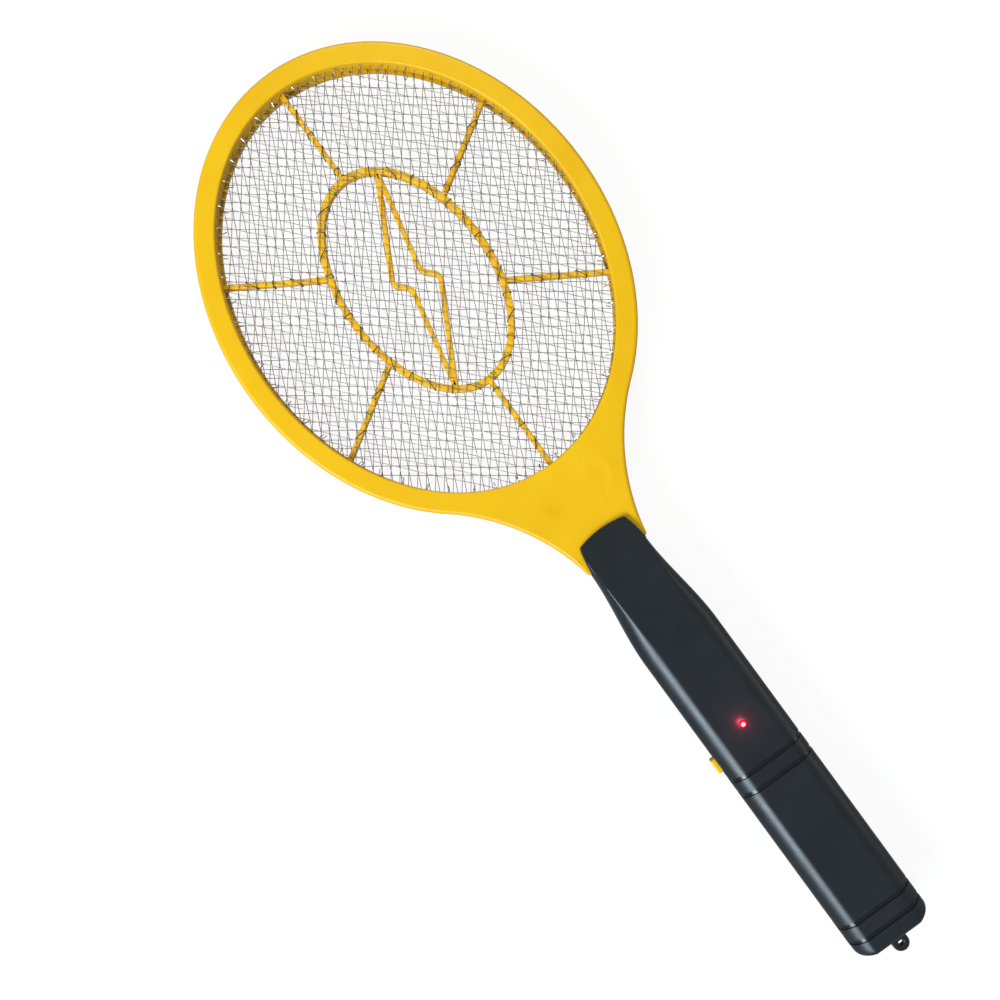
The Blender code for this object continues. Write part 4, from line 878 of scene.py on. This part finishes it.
def hang_eye():
    """Tab with a round end and an oval hole: a flat ring whose outline is a half circle below and a
    squared-off |cos|^0.5, |sin|^0.5 curve above, where it runs into the handle's end."""
    turn = np.arange(72) * 2 * math.pi / 72
    cos, sin = np.cos(turn), np.sin(turn)
    up = sin > 0
    x = np.where(up, np.sign(cos) * np.abs(cos) ** 0.5, cos) * LUG_RADIUS
    y = np.where(up, np.abs(sin) ** 0.5 * (LUG_REACH - LUG_RADIUS + LUG_ROOT), sin * LUG_RADIUS)
    path = np.stack([x, y], axis=1)
    out = outward(path)
    hole = np.stack([LUG_HOLE[0] * cos, LUG_HOLE[1] * sin], axis=1)
    inset, drop = quarter(LUG_EDGE, 5)
    top, low = GAP / 2 + LUG_DEPTH, GAP / 2
    profile = [(d, 0, 0, low + h) for d, h in zip(inset[::-1], drop[::-1])]
    profile += [(d, 0, 0, top - h) for d, h in zip(inset, drop)]
    profile += [(0.7, 0.7, w, top) for w in (0.0, 0.5, 1.0)]
    profile += [(0, e, 1, top - h) for e, h in zip(inset[::-1], drop[::-1])]
    profile += [(0, e, 1, low + h) for e, h in zip(inset, drop)]
    profile += [(0.7, 0.7, w, low) for w in (1.0, 0.5, 0.0)]
    d, e, w, z = np.array(profile, float).T
    outer = path[:, None] - out[:, None] * d[None, :, None]
    inner = hole[:, None] * (1 + e[None, :, None] * 0.8)
    flat = (1 - w)[None, :, None] * outer + w[None, :, None] * inner
    flat = flat + (0.0, HANDLE_END - LUG_REACH + LUG_RADIUS)
    points = raised(flat, z).reshape(-1, 3)
    piece = solid("hang_eye", points, [quads(len(path), len(profile), closed=True)], BLACK)
    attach(piece, "handle")
    return piece


# ---------------------------------------------------------------- button, lamp, screws and cells


def press_button():
    """Cap that stands out of the handle's side: eased rectangles stacked along X, the outer ones smaller by a
    quarter round, with low ridges of RIDGE cos(2 pi y / RIDGE_PITCH) on its face and a flange inside."""
    outer, back = -HANDLE_WIDTH / 2 - BUTTON_PROUD, -HANDLE_WIDTH / 2 + HANDLE_WALL + GAP
    half_y, half_z = BUTTON_LENGTH / 2, BUTTON_HEIGHT / 2
    inset, drop = quarter(BUTTON_ROUND, 6)
    rows = [(back + 1.0, -1.0), (back + 1.0, 0.999), (back, 0.999), (back, 0.0)]
    rows += [(outer + h, -d) for d, h in zip(inset, drop)]
    rows += [(outer, -BUTTON_ROUND - k) for k in (0.3, 0.7, 1.1, 1.5)]
    outline = rounded_bar(1.0, 1.0, 0.35, 7)
    points = []
    for x, grow in rows:
        size = np.maximum(np.array([half_y + grow, half_z + grow]), 0.02)
        flat = outline * size
        wave = RIDGE * (1 - np.cos(2 * math.pi * flat[:, 0] / RIDGE_PITCH)) * (x <= outer + 0.01)
        points.append(np.column_stack([x + wave, BUTTON_Y + flat[:, 0], flat[:, 1]]))
    piece = solid("press_button", np.concatenate(points), stack(len(rows), len(outline)), BUTTON_YELLOW)
    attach(piece, "button")
    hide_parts("power_button")
    return piece


def lamp():
    """Domed lens with a straight barrel and a foot ring, turned about the panel's normal."""
    turn = np.linspace(0, math.pi / 2, 10)
    dome = [(LED_RADIUS * math.sin(t), LED_RADIUS * (1 - math.cos(t))) for t in turn]
    foot = LED_RADIUS + 0.4
    profile = dome + [(LED_RADIUS, LED_BARREL), (foot, LED_BARREL), (foot, LED_FOOT), (0, LED_FOOT)]
    piece = solid("lamp_lens", *turned(profile, (0, LED_Y, HALF_DEPTH + LED_PROUD), (0, 0, -1)), LENS)
    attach(piece, "handle")
    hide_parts("indicator_led")
    return piece


def screw(number, x, y):
    """Pan-head screw with a cross recess and a plain shank, head down in its counterbore."""
    bottom = -float(half_height(np.array(y))) + COUNTERBORE_DEPTH - SCREW_HEAD - GAP
    head = [(0, 0), (1.3, 0), (1.7, 0.08), (2.0, 0.25), (2.2, 0.55), (2.2, SCREW_HEAD)]
    profile = head + [(1.2, SCREW_HEAD), (1.2, 9.0), (0, 10)]
    piece = solid("cross_screw_%d" % number, *turned(profile, (x, y, bottom), (0, 0, 1)), SCREW_STEEL)
    for a, b in ((1.25, 0.24), (0.24, 1.25)):
        carve(piece, box_tool((x - a, y - b, bottom - 1), (x + a, y + b, bottom + 0.7)))
    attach(piece, "handle")
    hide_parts("handle_screw_%d" % number)
    return piece


def cell(name, node, x, up, finish):
    """Dry cell: a can with rolled edges and a raised cap, turned about its length."""
    nose = BAY_TOP - GAP - CONTACT - GAP if up > 0 else BAY_END + GAP + CONTACT + GAP
    edge = [CELL_EDGE * (1 - math.cos(t)) for t in np.linspace(0, math.pi / 2, 5)]
    rise = [CELL_EDGE * math.sin(t) for t in np.linspace(0, math.pi / 2, 5)]
    full = BATTERY_NUB + BATTERY_CAN
    foot = BATTERY_NUB + 0.1
    profile = [(0, 0), (2.2, 0), (2.6, 0.3), (2.7, BATTERY_NUB - 0.1), (2.9, foot), (5.9, foot)]
    profile += [(BATTERY_RADIUS - CELL_EDGE + r, BATTERY_NUB + e) for r, e in zip(rise, edge)]
    profile += [(BATTERY_RADIUS - e, full - CELL_EDGE + r) for e, r in zip(edge, rise)]
    profile += [(5.6, full), (5.4, full - 0.3), (0, full - 0.3)]
    piece = solid(name, *turned(profile, (x, nose, 0), (0, -up, 0), 48), finish)
    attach(piece, "handle")
    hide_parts(node)
    return piece


def coil(name, node, x, base, direction):
    """Contact spring: a coil that narrows as it rises from its contact."""
    share = np.linspace(0, 1, 91)
    turn = 2 * math.pi * COIL_TURNS * share
    radius = COIL_WIDE - COIL_TAPER * share
    rise = COIL_WIRE + (SPRING_LENGTH - 2 * COIL_WIRE) * share
    line = np.stack([x + radius * np.cos(turn), base + direction * rise, radius * np.sin(turn)], axis=1)
    piece = solid(name, *tubes(line[None], COIL_WIRE, 8, (0, 1, 0)), NICKEL)
    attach(piece, "handle")
    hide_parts(node)
    return piece


def carried_over():
    """Parts that stay as they were packed get their finishes."""
    finishes = {
        "mesh_terminal_front": BRASS, "mesh_terminal_rear": BRASS, "mesh_lead_front": RED_LEAD,
        "mesh_lead_rear": BLACK_LEAD, "push_switch_body": RESIN, "push_switch_plunger": CREAM,
        "button_spring": NICKEL, "negative_contact": NICKEL, "positive_contact": NICKEL,
        "bridge_contact": NICKEL, "battery_lead_red": RED_LEAD, "battery_lead_black": BLACK_LEAD,
        "circuit_board": LAMINATE, "discharge_capacitor": BROWN, "multiplier_capacitor_1": BLUE,
        "multiplier_capacitor_2": BLUE, "multiplier_capacitor_3": BLUE, "rectifier_diode_1": DIODE,
        "rectifier_diode_2": DIODE, "rectifier_diode_3": DIODE, "resistor_1": RESISTOR,
        "resistor_2": RESISTOR, "resistor_3": RESISTOR, "transistor": RESIN, "transformer_core": FERRITE,
        "transformer_bobbin": RESIN, "transformer_winding": COPPER, "led_leg_1": NICKEL, "led_leg_2": NICKEL,
    }
    for node, finish in finishes.items():
        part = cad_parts[node]
        part.data.materials.clear()
        part.data.materials.append(finish)


# ---------------------------------------------------------------- studio


def floor():
    """A pale sheet that glows, so that shadows on it stay soft. It neither lights the swatter nor shows in
    its gloss, so that the flanks stay dark."""
    size, below = 3.0, -0.0002
    corners = [(-size, -size, below), (size, -size, below), (size, size, below), (-size, size, below)]
    data = bpy.data.meshes.new("studio_floor")
    data.from_pydata(corners, [], [(0, 1, 2, 3)])
    paper, tree, shader, place = begin("white_studio_paper")
    shade_of = between(tree, speckle(tree, place, 60.0), srgb("#565656"), srgb("#5A5A5A"))
    tree.links.new(shade_of, shader.inputs["Base Color"])
    shader.inputs["Roughness"].default_value = 0.9
    shader.inputs["Specular IOR Level"].default_value = 0.0
    shader.inputs["Emission Color"].default_value = (1, 1, 1, 1)
    shader.inputs["Emission Strength"].default_value = 0.92
    data.materials.append(paper)
    sheet = bpy.data.objects.new("studio_floor", data)
    sheet.visible_diffuse = sheet.visible_glossy = False
    bpy.context.scene.collection.objects.link(sheet)


def softbox(name, spot, aim, size, power, colour):
    """A rectangular light at spot, facing aim, both in metres."""
    data = bpy.data.lights.new(name, "AREA")
    data.shape, data.size, data.size_y = "RECTANGLE", *size
    data.energy, data.color = power, colour
    lamp_object = bpy.data.objects.new(name, data)
    lamp_object.location = spot
    way = Vector(aim) - Vector(spot)
    lamp_object.rotation_euler = way.to_track_quat("-Z", "Y").to_euler()
    bpy.context.scene.collection.objects.link(lamp_object)


def studio():
    """Cool key from the button's side, low warm fill from the other, a soft light over the head, and the
    red that the lamp throws on the panel."""
    middle = (0.0, 0.0, 0.01)
    softbox("key", (-1.15, -0.28, 0.96), middle, (1.5, 0.42), 28.0, (0.9, 0.96, 1.0))
    softbox("fill", (1.4, -0.2, 0.34), middle, (1.2, 0.4), 1.7, (1.0, 0.82, 0.68))
    softbox("top", (0.6, 1.0, 0.8), (0.0, 0.1, 0.0), (0.6, 0.6), 6.5, (1.0, 0.98, 0.93))
    glow = bpy.data.lights.new("lamp_glow", "POINT")
    glow.energy, glow.color, glow.shadow_soft_size = 0.004, (1.0, 0.05, 0.12), 0.001
    spot = bpy.data.objects.new("lamp_glow", glow)
    spot.location = put((0.0, LED_Y, HALF_DEPTH + 4.0))
    bpy.context.scene.collection.objects.link(spot)
    world = bpy.data.worlds.new("studio")
    world.use_nodes = True
    world.node_tree.nodes["Background"].inputs["Color"].default_value = (0.95, 0.97, 1.0, 1.0)
    world.node_tree.nodes["Background"].inputs["Strength"].default_value = 0.28
    bpy.context.scene.world = world
    bpy.context.scene.view_settings.view_transform = "Standard"


def camera():
    """Straight down on the front face, turned so that the swatter lies across the frame."""
    height, across = 0.430, 0.4137
    data = bpy.data.cameras.new("camera")
    data.sensor_width = 36.0
    data.lens = 36.0 * height / across
    eye = bpy.data.objects.new("camera", data)
    eye.location = (-0.02615, 0.0260, height + 0.0175)
    eye.rotation_euler = (0.0, 0.0, math.radians(-36.17))
    bpy.context.scene.collection.objects.link(eye)
    bpy.context.scene.camera = eye


hoop_half("hoop_front", 1, "head_frame_front", YELLOW)
hoop_half("hoop_rear", -1, "head_frame_rear", YELLOW)
woven_mesh("woven_mesh_front", 1, FRONT_WIRES, "mesh_front")
woven_mesh("woven_mesh_rear", -1, REAR_WIRES, "mesh_rear")
rib_frame()
lacing()
rim_hooks("rim_hooks_front", 1)
rim_hooks("rim_hooks_rear", -1)
grip()
inner_walls()
hang_eye()
press_button()
lamp()
for index, (screw_x, screw_y) in enumerate(SCREW_SPOTS):
    screw(index + 1, screw_x, screw_y)
cell("cell_left", "battery_left", -BATTERY_X, -1, CELL_LEFT)
cell("cell_right", "battery_right", BATTERY_X, 1, CELL_RIGHT)
coil("contact_coil_top", "contact_spring_top", -BATTERY_X, BAY_TOP - GAP - CONTACT - GAP, -1)
coil("contact_coil_end", "contact_spring_end", BATTERY_X, BAY_END + 2 * GAP + CONTACT, 1)
carried_over()
floor()
studio()
camera()
